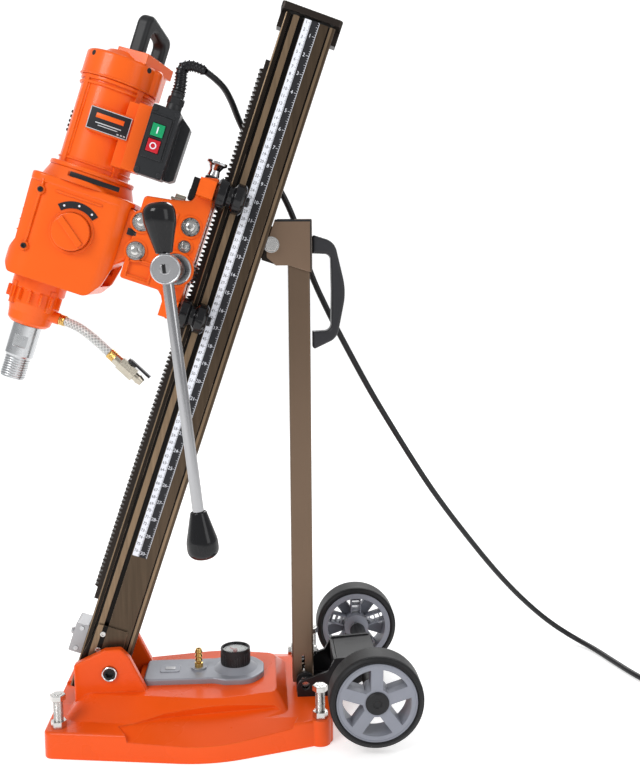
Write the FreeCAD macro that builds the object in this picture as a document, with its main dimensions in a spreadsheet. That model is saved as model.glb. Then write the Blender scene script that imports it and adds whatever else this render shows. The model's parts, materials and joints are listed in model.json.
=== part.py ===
"""Core drill rig: an electric core drill on a tilting rack-feed mast, with a vacuum base and wheels.

Millimetres, +Z up. The origin is on the floor under the middle of the base, +X runs from the mast's foot
towards the wheels, and +Y to the side without the feed lever.
"""

import FreeCAD, Part

import math
import os
import re

from FreeCAD import Placement, Rotation, Vector

doc = FreeCAD.newDocument("core_drill_rig")
sheet = doc.addObject("Spreadsheet::Sheet", "sizes")

# alias, size in mm or degrees, what it is
SIZES = (
    ("mast_tilt", 18.95, "lean of the mast from upright"),
    ("pivot_x", -114.5, "mast pivot, along the base"),
    ("pivot_z", 84.0, "mast pivot, above the floor"),
    ("mast_deep", 69.0, "mast profile, front to rear"),
    ("mast_front", 47.7, "pivot line to the front face of the mast"),
    ("mast_wide", 60.0, "mast profile, side to side"),
    ("mast_foot_drop", 42.5, "mast below its pivot"),
    ("mast_above", 926.0, "mast above its pivot"),
    ("gear_module", 2.0, "module of the feed rack and pinion"),
    ("rack_wide", 20.0, "width of the rack"),
    ("pinion_teeth", 24, "teeth on the feed pinion"),
    ("pinion_z", 559.5, "feed shaft, up the mast from the pivot"),
    ("roller_radius", 20.8, "guide rollers"),
    ("roller_long", 38.0, "guide rollers, along their pins"),
    ("roller_z_high", 672.5, "upper rollers, up the mast"),
    ("roller_z_low", 507.5, "lower rollers, up the mast"),
    ("base_thick", 36.0, "height of the base rim"),
    ("base_wall", 9.0, "wall of the hollow base"),
    ("deck_z", 57.0, "height of the raised deck"),
    ("ear_gap", 76.0, "clear width between the mast ears"),
    ("ear_thick", 14.0, "thickness of a mast ear"),
    ("pivot_pin_radius", 9.0, "mast pivot bolt"),
    ("leveller_x", 174.4, "levelling screws, along the base"),
    ("leveller_y", 105.0, "levelling screws, across the base"),
    ("leveller_radius", 6.0, "levelling screw M12"),
    ("plate_thick", 8.5, "vacuum plate"),
    ("gauge_x", 58.0, "vacuum gauge, along the base"),
    ("gauge_radius", 21.0, "vacuum gauge case"),
    ("barb_x", 5.0, "hose barb, along the base"),
    ("wheel_x", 246.3, "wheel axle, along the base"),
    ("wheel_z", 75.0, "wheel axle, above the floor"),
    ("wheel_y", 134.5, "middle of a wheel, off the centre line"),
    ("tyre_radius", 62.8, "tyre"),
    ("rim_radius", 53.6, "wheel rim"),
    ("wheel_wide", 40.0, "wheel width"),
    ("axle_radius", 6.0, "wheel axle"),
    ("foot_x", 158.0, "strut foot pin, along the base"),
    ("foot_z", 52.0, "strut foot pin, above the floor"),
    ("strut_x", 155.5, "centre line of the strut tube"),
    ("strut_side", 30.0, "strut square tube"),
    ("strut_wall", 3.0, "strut tube wall"),
    ("bracket_x", 28.5, "strut bolt, behind the mast pivot line"),
    ("bracket_z", 631.5, "strut bolt, up the mast"),
    ("motor_x", -229.7, "motor axis, in front of the mast pivot line"),
    ("motor_radius", 47.5, "motor housing"),
    ("motor_wall", 3.2, "motor housing wall"),
    ("spindle_x", -253.7, "drill spindle axis"),
    ("spindle_radius", 19.0, "spindle collar"),
    ("thread_radius", 15.875, "spindle thread, 1 1/4 inch"),
    ("casting_wide", 92.0, "carriage casting, side to side"),
    ("hub_y", -177.0, "middle of the feed hub, off the centre line"),
    ("hub_radius", 18.0, "feed hub"),
    ("bar_radius", 7.0, "feed bar"),
    ("bar_lean", 6.0, "lean of the feed bar from upright"),
    ("bar_reach", 358.0, "feed hub to the far tip of the feed bar"),
    ("knob_long", 60.0, "feed bar knob"),
    ("knob_radius", 20.0, "feed bar knob"),
    ("switch_long", 89.0, "switch box, along the motor"),
    ("switch_wide", 36.0, "switch box front"),
    ("cord_radius", 4.4, "mains lead"),
    ("coil_radius", 50.0, "middle of the put-away turns of the lead"),
    ("hose_radius", 6.0, "water hose"),
)
ALIASES = {alias for alias, _, _ in SIZES}
for row, (alias, value, meaning) in enumerate(SIZES, 1):
    sheet.set(f"A{row}", meaning)
    sheet.set(f"B{row}", str(value))
    sheet.setAlias(f"B{row}", alias)
doc.recompute()


def size(alias):
    """A cell of the sheet as a number."""
    return float(sheet.get(alias))


X, Y, Z = Vector(1, 0, 0), Vector(0, 1, 0), Vector(0, 0, 1)
FLAT = Placement()
MAST = Placement(Vector(size("pivot_x"), 0, size("pivot_z")), Rotation(Y, size("mast_tilt")))
CLEAR = 0.3  # between curved faces on different bodies
FIT = 0.05  # radial clearance of a running fit
ALL_PARTS = []


def bind(thing, **values):
    """Set sizes. A text is a formula of the sheet's cells, and stays bound to them."""
    for name, value in values.items():
        if isinstance(value, str):
            formula = re.sub(r"[a-z_]+", lambda w: f"sizes.{w[0]}" if w[0] in ALIASES else w[0], value)
            thing.setExpression(name, formula)
        else:
            setattr(thing, name, value)
    thing.recompute()
    return thing


def block(length, width, height, at, turn=None):
    """A box centred on `at` in X and Y, with its underside at `at`'s Z."""
    thing = bind(doc.addObject("Part::Box", "block"), Length=length, Width=width, Height=height)
    middle = Placement(Vector(-thing.Length.Value / 2, -thing.Width.Value / 2, 0), Rotation())
    thing.Placement = Placement(Vector(*at), turn or Rotation()) * middle
    return thing


def rod(radius, length, at, along=Z):
    """A cylinder from `at`."""
    thing = bind(doc.addObject("Part::Cylinder", "rod"), Radius=radius, Height=length)
    thing.Placement = Placement(Vector(*at), Rotation(Z, along))
    return thing


def taper(start, end, length, at, along=Z):
    """A cone from radius start to radius end."""
    thing = bind(doc.addObject("Part::Cone", "taper"), Radius1=start, Radius2=end, Height=length)
    thing.Placement = Placement(Vector(*at), Rotation(Z, along))
    return thing


def hexagon(across, length, at, along=Z):
    """A hexagonal prism, given its width across flats."""
    thing = doc.addObject("Part::Prism", "hexagon")
    bind(thing, Polygon=6, Circumradius=across / math.sqrt(3), Height=length)
    thing.Placement = Placement(Vector(*at), Rotation(Z, along))
    return thing


def ring(outer, inner, length, at, along=Z):
    """A plain ring."""
    start = Vector(*at) - along
    through = f"{length} + 2" if isinstance(length, str) else length + 2.0
    return cut(rod(outer, length, at, along), rod(inner, through, start, along))


def whole(result, things):
    """Stop the build if a step gave an empty or inverted solid, or left out one of the things that went into it."""
    box = result.Shape.BoundBox
    box.enlarge(0.6)
    for thing in [result, *things]:
        if thing.Shape.isNull() or thing.Shape.Volume <= 0 or not box.isInside(thing.Shape.BoundBox):
            raise ValueError(f"{result.Name} has lost {thing.Name}")
    return result


def fuse(*things):
    joined = doc.addObject("Part::MultiFuse", "fuse")
    joined.Shapes = list(things)
    joined.recompute()
    return whole(joined, things)


def group(*things):
    """Separate solids that share a node."""
    together = doc.addObject("Part::Compound", "group")
    together.Links = list(things)
    together.recompute()
    return together


def common(*things):
    shared = doc.addObject("Part::MultiCommon", "common")
    shared.Shapes = list(things)
    shared.recompute()
    return shared


def cut(base, *tools):
    result = doc.addObject("Part::Cut", "cut")
    result.Base = base
    result.Tool = tools[0] if len(tools) == 1 else fuse(*tools)
    result.recompute()
    return result


def rounded(base, radius, chosen):
    """Fillet the edges of `base` that `chosen` picks."""
    result = doc.addObject("Part::Fillet", "rounded")
    result.Base = base
    result.Edges = [
        (number, radius, radius) for number, edge in enumerate(base.Shape.Edges, 1) if chosen(edge)
    ]
    result.recompute()
    return whole(result, [])


def along(axis):
    """Picks straight edges that run along an axis."""
    return lambda e: e.Curve.TypeId == "Part::GeomLine" and abs(e.tangentAt(e.FirstParameter).dot(axis)) > 0.999


def level(height, near=0.2):
    """Picks the edges that lie at a height."""
    return lambda e: abs(e.BoundBox.ZMin - height) < near and abs(e.BoundBox.ZMax - height) < near


def outline(points):
    """Lines and arcs of a closed outline. A point is (across, up) or (across, up, corner radius)."""
    corners = []
    count = len(points)
    for i, point in enumerate(points):
        here = Vector(point[0], point[1], 0)
        radius = point[2] if len(point) > 2 else 0
        if not radius:
            corners.append((here, None, here))
            continue
        back = (Vector(*points[i - 1][:2], 0) - here).normalize()
        ahead = (Vector(*points[(i + 1) % count][:2], 0) - here).normalize()
        half = back.getAngle(ahead) / 2
        reach = radius / math.tan(half)
        inward = (back + ahead).normalize()
        middle = here + inward * (radius / math.sin(half) - radius)
        corners.append((here + back * reach, middle, here + ahead * reach))
    pieces = []
    for i, (start, middle, end) in enumerate(corners):
        if middle is not None:
            pieces.append(Part.Arc(start, middle, end))
        after = corners[(i + 1) % count][0]
        if (after - end).Length > 1e-6:
            pieces.append(Part.LineSegment(end, after))
    return pieces


def sketch(body, plane, pieces, offset=0.0):
    drawn = body.newObject("Sketcher::SketchObject", "outline")
    base = [f for f in body.Origin.OriginFeatures if f.Role == plane][0]
    drawn.AttachmentSupport = [(base, "")]
    drawn.MapMode = "FlatFace"
    drawn.AttachmentOffset = Placement(Vector(0, 0, offset), Rotation())
    for piece in pieces:
        drawn.addGeometry(piece, False)
    return drawn


def pad(points, deep, plane="XZ_Plane", holes=(), at=(0, 0, 0)):
    """An outline padded equally to both sides of its plane. A hole is (across, up, radius) or another outline."""
    body = doc.addObject("PartDesign::Body", "body")
    pieces = outline(points)
    for hole in holes:
        if isinstance(hole[0], (tuple, list)):
            pieces += outline(hole)
        else:
            pieces.append(Part.Circle(Vector(hole[0], hole[1], 0), Z, hole[2]))
    drawn = sketch(body, plane, pieces)
    padded = body.newObject("PartDesign::Pad", "pad")
    padded.Profile = drawn
    padded.SideType = "Symmetric"
    bind(padded, Length=deep)
    body.Placement = Placement(Vector(*at), Rotation())
    doc.recompute()
    return body


def raised(points, bottom, top, holes=()):
    """An outline in the XY plane, from one height to another."""
    return pad(points, top - bottom, "XY_Plane", holes, (0, 0, (top + bottom) / 2))


def loft(low, low_z, high, high_z):
    """A solid between two outlines of the same number of points, at two heights."""
    body = doc.addObject("PartDesign::Body", "body")
    first = sketch(body, "XY_Plane", outline(low), low_z)
    second = sketch(body, "XY_Plane", outline(high), high_z)
    lofted = body.newObject("PartDesign::AdditiveLoft", "loft")
    lofted.Profile = first
    lofted.Sections = [second]
    lofted.Ruled = True
    doc.recompute()
    return body


def turned(points, at=(0, 0, 0), along_axis=Z):
    """A half profile of (radius, height) points, turned about its height axis."""
    body = doc.addObject("PartDesign::Body", "body")
    drawn = sketch(body, "XZ_Plane", outline(points))
    spun = body.newObject("PartDesign::Revolution", "turned")
    spun.Profile = drawn
    spun.ReferenceAxis = (drawn, ["V_Axis"])
    spun.Angle = 360
    body.Placement = Placement(Vector(*at), Rotation(Z, along_axis))
    doc.recompute()
    return body


def shaped(shape):
    """A piece whose shape is worked out here."""
    thing = doc.addObject("Part::Feature", "shaped")
    thing.Shape = shape
    return thing


def moved(thing, frame):
    thing.Placement = frame * thing.Placement
    return thing


def node(label, thing, frame=FLAT):
    """Name a finished sub-part and put it in its frame."""
    thing.Label = label
    moved(thing, frame)
    ALL_PARTS.append(thing)
    return thing


def mirrored(points):
    """An outline that is given for +Y only, closed with its mirror image."""
    return list(points) + [(p[0], -p[1], *p[2:]) for p in reversed(points)]


def both_sides(make):
    """The same piece on either side of the centre line."""
    return make(1), make(-1)


# ---------------------------------------------------------------- base

EAR_MIDDLE = size("ear_gap") / 2 + size("ear_thick") / 2
LEVELLERS = [(x * size("leveller_x"), y * size("leveller_y")) for x in (-1, 1) for y in (-1, 1)]
RIM = [(-192.5, 121, 14), (30, 155, 200), (192.5, 108, 16)]
DECK_LOW = [(-176, 100, 20), (30, 138, 160), (136, 98, 20)]
DECK_HIGH = [(-150, 52, 20), (34, 84, 120), (116, 66, 16)]
HOLLOW = [(-62, 44, 10), (30, 66, 60), (98, 50, 12)]
RECESS = [(-96, 112), (-38, 97), (112, 84), (146, 98), (120, 180), (30, 185), (-60, 180)]
EAR = [(-163.5, 28), (-163.5, 97, 5), (-121, 117, 5), (-99, 118, 6), (-87, 105, 5), (-62, 52, 8), (-40, 30)]


def chamber_outline(outward):
    """The vacuum chamber's outline, which passes inside the levelling screws."""
    wall = size("base_wall") + 4.5 - outward
    side = size("base_wall") + 3.0 - outward
    half = [(-192.5 + wall, 62 + outward, 14), (-161.5 + wall, 106.5 - side + 3, 24), (30, 155 - side, 190),
            (161.5 - wall, 101 - side + 3, 24), (192.5 - wall, 60 + outward, 14)]
    return mirrored(half)[::-1]


def base_casting():
    rim = rounded(raised(mirrored(RIM)[::-1], 0, size("base_thick")), 4.0, level(size("base_thick")))
    deck = loft(mirrored(DECK_LOW)[::-1], 30, mirrored(DECK_HIGH)[::-1], size("deck_z"))
    body = rounded(fuse(rim, deck), 3.0, level(size("deck_z")))
    recesses = []
    for side in (1, -1):
        tool = raised([(x, side * y) for x, y in RECESS][::side], 0, 60)
        tool.Placement = Placement(Vector(0, side * 50, 50), Rotation(X, -side * 15)) * Placement(
            Vector(0, -side * 50, 30), Rotation()
        )
        recesses.append(tool)
    ears = both_sides(lambda s: pad(EAR, "ear_thick", at=(0, s * EAR_MIDDLE, 0)))
    ears = [rounded(e, 3.0, lambda edge: edge.BoundBox.YLength < 0.1 and edge.BoundBox.ZMax > 60) for e in ears]
    bosses = [rod(14.0, "base_thick", (x, y, 0)) for x, y in LEVELLERS]
    chamber = raised(chamber_outline(0), -1, 25)
    groove = raised(chamber_outline(7.5), -1, 4)
    keep = raised(chamber_outline(3.0), -2, 5)
    pocket = block(124.0, "ear_gap - 0.2", 60.0, (-142, 0, 32))
    passage = block(28.0, 18.0, 60.0, (30, 0, 10))
    hollow = raised(mirrored(HOLLOW)[::-1], 20, size("deck_z") - size("base_wall"))
    post = rod(12.0, 52.0, (0, 0, 0))
    body = cut(body, *recesses)
    body = fuse(body, *ears)
    body = cut(body, pocket, chamber, hollow, passage, cut(groove, keep))
    body = fuse(body, post, *bosses)
    holes = [rod(6.1, 60.0, (x, y, -1)) for x, y in LEVELLERS]
    pivot = rod("pivot_pin_radius + 0.05", 160.0, (size("pivot_x"), -80, size("pivot_z")), Y)
    return cut(body, pivot, *holes)


node("base_casting", base_casting())

node("base_seal", raised(chamber_outline(7.1), 0.4, 3.9, [chamber_outline(3.4)]))

DECK = size("deck_z")
PLATE_TOP = DECK + size("plate_thick")
plate = raised(
    mirrored([(-71, 35, 7), (28, 35, 14), (44, 42, 14), (82, 42, 28), (99, 16, 18)])[::-1],
    DECK,
    PLATE_TOP,
)
plate = rounded(plate, 2.5, level(PLATE_TOP))
emblem = raised([(-50, 12, 4), (-22, 12, 4), (-22, -12, 4), (-50, -12, 4)][::-1], PLATE_TOP - 1, PLATE_TOP + 1.0)
seat = taper(33.0, 21.5, 8.0, (size("gauge_x"), 0, PLATE_TOP - 1))
stub = rod(11.0, 3.0, (size("barb_x"), 0, PLATE_TOP - 0.5))
bores = [rod(4.0, 30.0, (size("barb_x"), 0, DECK - 5)), rod(5.0, 30.0, (size("gauge_x"), 0, DECK - 3))]
channel = block(60.0, 9.0, 4.0, ((size("barb_x") + size("gauge_x")) / 2, 0, DECK - 1))
node("vacuum_plate", cut(fuse(plate, emblem, seat, stub), channel, *bores))

BARB = [(2.2, 0), (6, 0), (6, 6), (4.2, 7), (4.2, 9), (5.6, 10), (4.2, 14), (4.2, 15), (5.6, 16), (4.2, 20),
        (4.2, 21), (5.6, 22), (3.9, 27), (2.2, 27)]
node("hose_barb", turned(BARB, (size("barb_x"), 0, PLATE_TOP + 2.5)))

GAUGE_Z = PLATE_TOP + 7.0
CASE = size("gauge_radius")
gauge = [(0, 0), (CASE, 0), (CASE, 22), (CASE - 2.5, 22), (CASE - 2.5, 17), (2.2, 17), (2.2, 14), (0, 14)]
node("gauge_body", turned(gauge, (size("gauge_x"), 0, GAUGE_Z)))
needle = fuse(rod(1.6, 4.0, (0, 0, 14.6)), block(13.0, 1.4, 0.8, (4.5, 0, 17.8)), rod(3.0, 1.2, (0, 0, 17.6)))
node("gauge_needle", needle, Placement(Vector(size("gauge_x"), 0, GAUGE_Z), Rotation(Z, 135)))

pivot_bolt = fuse(
    rod("pivot_pin_radius", 2 * EAR_MIDDLE + 18.0, (0, -EAR_MIDDLE - 9.0, 0), Y),
    rod(10.6, 2.4, (0, -EAR_MIDDLE - 9.4, 0), Y),
    rod(10.6, 2.4, (0, EAR_MIDDLE + 7.0, 0), Y),
)
socket = [hexagon(10.0, 6.0, (0, s * (EAR_MIDDLE + 10) - (6 if s > 0 else 0), 0), Y) for s in (1, -1)]
node("mast_pivot_bolt", cut(pivot_bolt, *socket), Placement(MAST.Base, Rotation()))

for number, (x, y) in enumerate(LEVELLERS, 1):
    screw = fuse(rod("leveller_radius", 74.0, (x, y, 1.0)), hexagon(18.0, 7.5, (x, y, 74.0)))
    node(f"levelling_screw_{number}", rounded(screw, 1.0, level(81.5)))
nuts = [cut(hexagon(18.0, 9.0, (x, y, 36.0)), rod(6.1, 12.0, (x, y, 35.0))) for x, y in LEVELLERS]
node("leveller_nuts", group(*nuts))

# ---------------------------------------------------------------- wheels and their yoke

AXLE_X, AXLE_Z = size("wheel_x"), size("wheel_z")
FOOT_X, FOOT_Z = size("foot_x"), size("foot_z")
CHEEK = [(146, 36.2), (146, 58, 11), (166, 64, 5), (190, 72, 6), (200, 91, 4), (262, 95, 10), (262, 62, 8),
         (238, 56, 6), (204, 36.2, 5)]


def wheel_bracket():
    cheeks = [
        pad(CHEEK, 5.0, at=(0, s * 40.0, 0), holes=[(AXLE_X, AXLE_Z, size("axle_radius") + FIT)]) for s in (1, -1)
    ]
    lugs = [fuse(rod(12.5, 6.0, (FOOT_X, s * 23 - 3, FOOT_Z), Y), block(25.0, 6.0, 15.6, (FOOT_X, s * 23, 36.2)))
            for s in (1, -1)]
    floor = block(60.0, 85.0, 3.0, (176, 0, 36.2))
    top = block(56.0, 85.0, 4.0, (231, 0, 87), Rotation(Y, -4))
    web = block(4.0, 80.0, 32.0, (200, 0, 57))
    tube = ring(12.0, size("axle_radius") + FIT, 200.0, (AXLE_X, -100, AXLE_Z), Y)
    hole = rod("axle_radius + 0.05", 90.0, (FOOT_X, -45, FOOT_Z), Y)
    bore = rod("axle_radius + 0.05", 200.0, (AXLE_X, -100, AXLE_Z), Y)
    clear = block(46.0, 34.0, 60.0, (FOOT_X, 0, 39.2))
    return cut(fuse(*cheeks, *lugs, floor, top, web, tube), hole, bore, clear)


node("wheel_bracket", wheel_bracket())

axle = fuse(
    rod("axle_radius", "2 * (wheel_y + 16.5)", (AXLE_X, -size("wheel_y") - 16.5, AXLE_Z), Y),
    *[rod(9.0, 3.0, (AXLE_X, s * 112.0 - 1.5, AXLE_Z), Y) for s in (1, -1)],
)
node("wheel_axle", axle)
node("strut_pin", fuse(rod("axle_radius", 60.0, (FOOT_X, -30, FOOT_Z), Y),
                       hexagon(16.0, 6.0, (FOOT_X, -33.5, FOOT_Z), Y), hexagon(16.0, 6.0, (FOOT_X, 27.5, FOOT_Z), Y)))

SPOKES = 5
HALF_WHEEL = size("wheel_wide") / 2
TREAD = size("tyre_radius")
SEAT = size("rim_radius") + 0.1
for side, name in ((-1, "near"), (1, "far")):
    spokes = []
    for i in range(SPOKES):
        angle = 90 + 360 / SPOKES * i
        arm = block(34.0, 16.0, 12.0, (30, 0, -6))
        arm.Placement = Placement(Vector(0, 0, 12), Rotation(Z, angle)) * arm.Placement
        spokes.append(arm)
    rim = ring("rim_radius", 45.5, "wheel_wide - 4", (0, 0, -HALF_WHEEL + 2))
    wheel = fuse(rim, ring(19.0, 6.05, "wheel_wide - 4", (0, 0, -HALF_WHEEL + 2)), *spokes)
    cap = turned([(0, 0), (15.5, 0), (15.5, 1.5), (13, 3.2, 1), (6, 3.6), (5, 2.4), (0, 2.4)], (0, 0, 18.0))
    wheel = cut(fuse(wheel, cap, rod(15.0, 2.0, (0, 0, 16.0))), rod(6.1, 36.5, (0, 0, -18.5)))
    spot = Placement(Vector(AXLE_X, side * size("wheel_y"), AXLE_Z), Rotation(Z, Vector(0, side, 0)))
    node(f"wheel_rim_{name}", wheel, spot)
    profile = [(SEAT, -HALF_WHEEL + 3), (57, -HALF_WHEEL, 3), (TREAD, -HALF_WHEEL + 4, 5), (TREAD, HALF_WHEEL - 4, 5),
               (57, HALF_WHEEL, 3), (SEAT, HALF_WHEEL - 3)]
    node(f"tyre_{name}", turned(profile), spot)

# ---------------------------------------------------------------- mast

FRONT = -size("mast_front")
BACK = FRONT + size("mast_deep")
SIDE = size("mast_wide") / 2
TOP = size("mast_above")
DROP = -size("mast_foot_drop")
RACK_TOP, RACK_END = 849.5, 95.5
HALF_PROFILE = [
    (FRONT, SIDE, 1.5), (FRONT + 7, SIDE), (FRONT + 7, SIDE - 4), (FRONT + 11, SIDE - 4), (FRONT + 11, SIDE),
    (FRONT + 19, SIDE), (FRONT + 19, SIDE - 5), (FRONT + 25.4, SIDE - 5), (FRONT + 25.4, SIDE), (11.7, SIDE),
    (11.7, SIDE - 3), (13.3, SIDE - 3), (13.3, SIDE), (BACK, SIDE, 1.5), (BACK, 7), (BACK - 4, 7),
    (BACK - 4, 12), (BACK - 13, 12),
]
profile = raised(
    mirrored(HALF_PROFILE)[::-1], DROP, TOP, [mirrored([(-33, 21, 3), (2, 21, 3)])[::-1]]
)
shoe = [(-44, -40), (-44, 12, 2), (-36, 56, 2), (6, 56, 2), (10, -40)]
shoes = [pad(shoe, 4.0, at=(0, s * (SIDE + 1), 0)) for s in (1, -1)]
ends = rod("pivot_pin_radius + 0.05", 80.0, (0, -40, 0), Y)
node("mast_profile", cut(fuse(profile, *shoes), ends), MAST)


def rack():
    """Straight-flanked teeth on the front of the mast."""
    module = size("gear_module")
    pitch = math.pi * module
    line = FRONT - 9.3
    flank = math.tan(math.radians(20))
    thick = pitch / 4 - 0.12
    root, tip = line + 1.25 * module, line - module
    first = size("pinion_z") - math.floor((size("pinion_z") - RACK_END) / pitch) * pitch
    points = [(FRONT, RACK_END - 14), (root, RACK_END - 14)]
    z = first
    while z < RACK_TOP:
        low, high = thick + 1.25 * module * flank, thick - module * flank
        points += [(root, z - low), (tip, z - high), (tip, z + high), (root, z + low)]
        z += pitch
    points += [(root, RACK_TOP + 14), (FRONT, RACK_TOP + 14)]
    wire = Part.makePolygon([Vector(x, -10, z) for x, z in points] + [Vector(points[0][0], -10, points[0][1])])
    return shaped(Part.Face(wire).extrude(Y * size("rack_wide")))


node("feed_rack", rack(), MAST)
node("depth_scale", block(20.5, 0.6, 762.0, (-10.95, -SIDE - 0.3, 164.0)), MAST)


def mast_cap():
    cap = block(84.0, 66.0, 9.0, (-13.7, 0, 929.5))
    cap = rounded(cap, 5.0, along(Z))
    lugs = [block(8.0, 20.0, 22.0, (x, 0, 909.0)) for x in (-51, 24.2)]
    inside = block("mast_deep", "mast_wide", 30.0, ((FRONT + BACK) / 2, 0, TOP - 30.0))
    return rounded(cut(fuse(cap, *lugs), inside), 1.5, level(938.5))


node("mast_cap", mast_cap(), MAST)
stop = rounded(block(18.8, 40.0, 42.0, (FRONT - 9.4, 0, 2.0)), 2.0, along(Y))
stop = fuse(stop, rod(5.0, 4.0, (FRONT - 18.0, 0, 23.5), -X))
node("depth_stop", stop, MAST)

# ---------------------------------------------------------------- strut and its bracket

BOLT = (size("bracket_x"), 0, size("bracket_z"))
STRUT_BOLT = 4.0


def strut_slider():
    """A T-head in the mast's rear slot, a lug behind it and the bolt through the lug."""
    head = block(8.4, 23.4, 46.0, (BACK - 8.5, 0, 610.0))
    neck = block(8.0, 13.4, 46.0, (BACK - 1.0, 0, 610.0))
    lug = pad([(BACK + 1, 608), (BACK + 20.5, 608, 3), (BACK + 20.5, 648, 8), (BACK + 1, 656)], 26.0)
    hole = rod(STRUT_BOLT + 0.1, 40.0, (BOLT[0], -20, BOLT[2]), Y)
    return cut(fuse(head, neck, lug), hole)


node("strut_slider", strut_slider(), MAST)
BOLT_WORLD = MAST.multVec(Vector(*BOLT))
pin_at = (BOLT_WORLD.x, 0, BOLT_WORLD.z)
bolt_ends = []
for s in (1, -1):
    washer_at, nut_at = (pin_at[0], s * 20.4 - 1.3, pin_at[2]), (pin_at[0], s * 24.6 - 3.0, pin_at[2])
    bolt_ends += [rod(11.0, 2.6, washer_at, Y), hexagon(16.0, 6.0, nut_at, Y)]
# The washers and nuts have a flat against the back of the mast, which keeps them from turning.
flat = moved(block(30.0, 80.0, 60.0, (BACK + 0.4 - 15.0, 0, BOLT[2] - 30)), MAST)
node("strut_bolt", cut(fuse(rod(STRUT_BOLT, 50.0, (pin_at[0], -25, pin_at[2]), Y), *bolt_ends), flat))

STRUT_X = size("strut_x")
STRUT_END = 46.0


def strut_tube():
    outer = rounded(block("strut_side", "strut_side", 644.0, (STRUT_X, 0, STRUT_END)), 2.5, along(Z))
    inner = block("strut_side - 2 * strut_wall", "strut_side - 2 * strut_wall", 700.0, (STRUT_X, 0, STRUT_END - 5))
    eye = rod(9.0, 40.0, (FOOT_X, -20, FOOT_Z), Y)
    below = block(18.0, 40.0, 12.0, (FOOT_X, 0, STRUT_END - 6))
    slot = fuse(block(4.5, 40.0, 22.0, (FOOT_X - 2, 0, 62)), rod(2.25, 40.0, (FOOT_X - 2, -20, 84), Y))
    return cut(outer, inner, eye, below, slot)


node("strut_tube", strut_tube())
HEAD = [(123, 706), (172.5, 706, 2), (172.5, 634, 3), (141, 644, 2), (124, 644, 2), (111.2, 655, 3), (111.2, 672)]


def strut_head():
    cheeks = [pad(HEAD, 3.4, at=(0, s * 17.0, 0), holes=[(pin_at[0], pin_at[2], STRUT_BOLT + 0.1)]) for s in (1, -1)]
    back = block(3.0, 36.6, 70.0, (172.0, 0, 635))
    lid = block(47.0, 36.6, 3.0, (149.5, 0, 703.6))
    bridge = block(32.0, 34.0, 8.0, (156.0, 0, 692.0))
    return fuse(*cheeks, back, lid, bridge)


node("strut_head", strut_head())
HANDLE = [(173.9, 686, 3), (205, 676, 22), (221, 608, 90), (208, 543, 22), (173.9, 527, 3)]
WINDOW = [(173.9, 661), (199.5, 659, 8), (200.5, 608), (199.5, 554, 9), (173.9, 552)]
grip = pad(HANDLE, 26.0)
window = pad([(160, 661), *WINDOW[1:4], (160, 552)], 40.0)
node("strut_handle", rounded(cut(grip, window), 4.0, lambda e: e.BoundBox.YLength < 0.1 and e.BoundBox.XMax > 176))

# ---------------------------------------------------------------- carriage

PINION_Z = size("pinion_z")
PINION_X = FRONT - 9.3 - size("gear_module") * size("pinion_teeth") / 2 - 0.1
CASTING = [
    (-149, 639, 6), (-114, 645), (-88, 652, 6), (-84.5, 668, 4), (-84.5, 686, 5), (-62, 691, 4), (-61.5, 640),
    (-62, 575, 12), (-63, 540, 8), (-62.5, 512), (-64, 497, 3), (-76, 492, 3), (-89, 519), (-96, 526, 6), (-149, 526, 4),
]
ROLLER_Y = SIDE + size("roller_radius") + CLEAR + 0.4
ROLLER_X = -41.5
ROLLERS = [(z, s) for z in (size("roller_z_high"), size("roller_z_low")) for s in (-1, 1)]
CASTING_HALF = size("casting_wide") / 2


def carriage_casting():
    body = pad(CASTING, "casting_wide")
    body = rounded(body, 2.0, lambda e: e.BoundBox.YLength < 0.1 and e.BoundBox.XMax < -84 and e.BoundBox.ZMin > 525)
    boss = fuse(rod(24.0, 10.0, (PINION_X, -CASTING_HALF - 9, PINION_Z), Y), rod(24.0, 6.0, (PINION_X, CASTING_HALF - 1, PINION_Z), Y))
    pocket = pad([(-142, 552, 3), (-142, 534, 3), (-112, 534, 3), (-112, 552, 3)], 5.0, at=(0, -CASTING_HALF, 0))
    channel = block(30.0, 26.0, 260.0, (-69, 0, 460))
    gear_room = rod(27.5, 26.0, (PINION_X, -13, PINION_Z), Y)
    shaft = rod(13.5 + FIT, 140.0, (PINION_X, -70, PINION_Z), Y)
    arms = []
    for z, s in ROLLERS:
        arms.append(block(22.0, 40.0, 24.0, (-73.5, s * 46.0, z - 12)))
        arms.append(rod(13.0, 20.0, (-83.5, s * ROLLER_Y, z), X))
    pins = [rod(6.0, 44.0, (-66.0, s * ROLLER_Y, z), X) for z, s in ROLLERS]
    slot = block(7.0, 100.0, 7.0, (-148, 0, 584))
    body = cut(fuse(body, boss, *arms), pocket, channel, gear_room, shaft, slot)
    plunger = rod(6.0 + FIT, 40.0, (-73.0, -30.0, 655), Z)
    return fuse(cut(body, plunger), *pins)


node("carriage_casting", carriage_casting(), MAST)


def roller():
    """Two flanges and a groove between them, on a plain bore."""
    radius, half = size("roller_radius"), size("roller_long") / 2
    return turned([
        (6.05, -half), (radius - 4, -half), (radius, -half + 3, 1), (radius, -6, 2), (radius - 6, -3, 2),
        (radius - 6, 3, 2), (radius, 6, 2), (radius, half - 3, 1), (radius - 4, half), (6.05, half),
    ])


for number, (z, s) in enumerate(ROLLERS, 1):
    spot = Placement(Vector(ROLLER_X, s * ROLLER_Y, z), Rotation(Z, X))
    node(f"guide_roller_{number}", roller(), MAST * spot)

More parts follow.
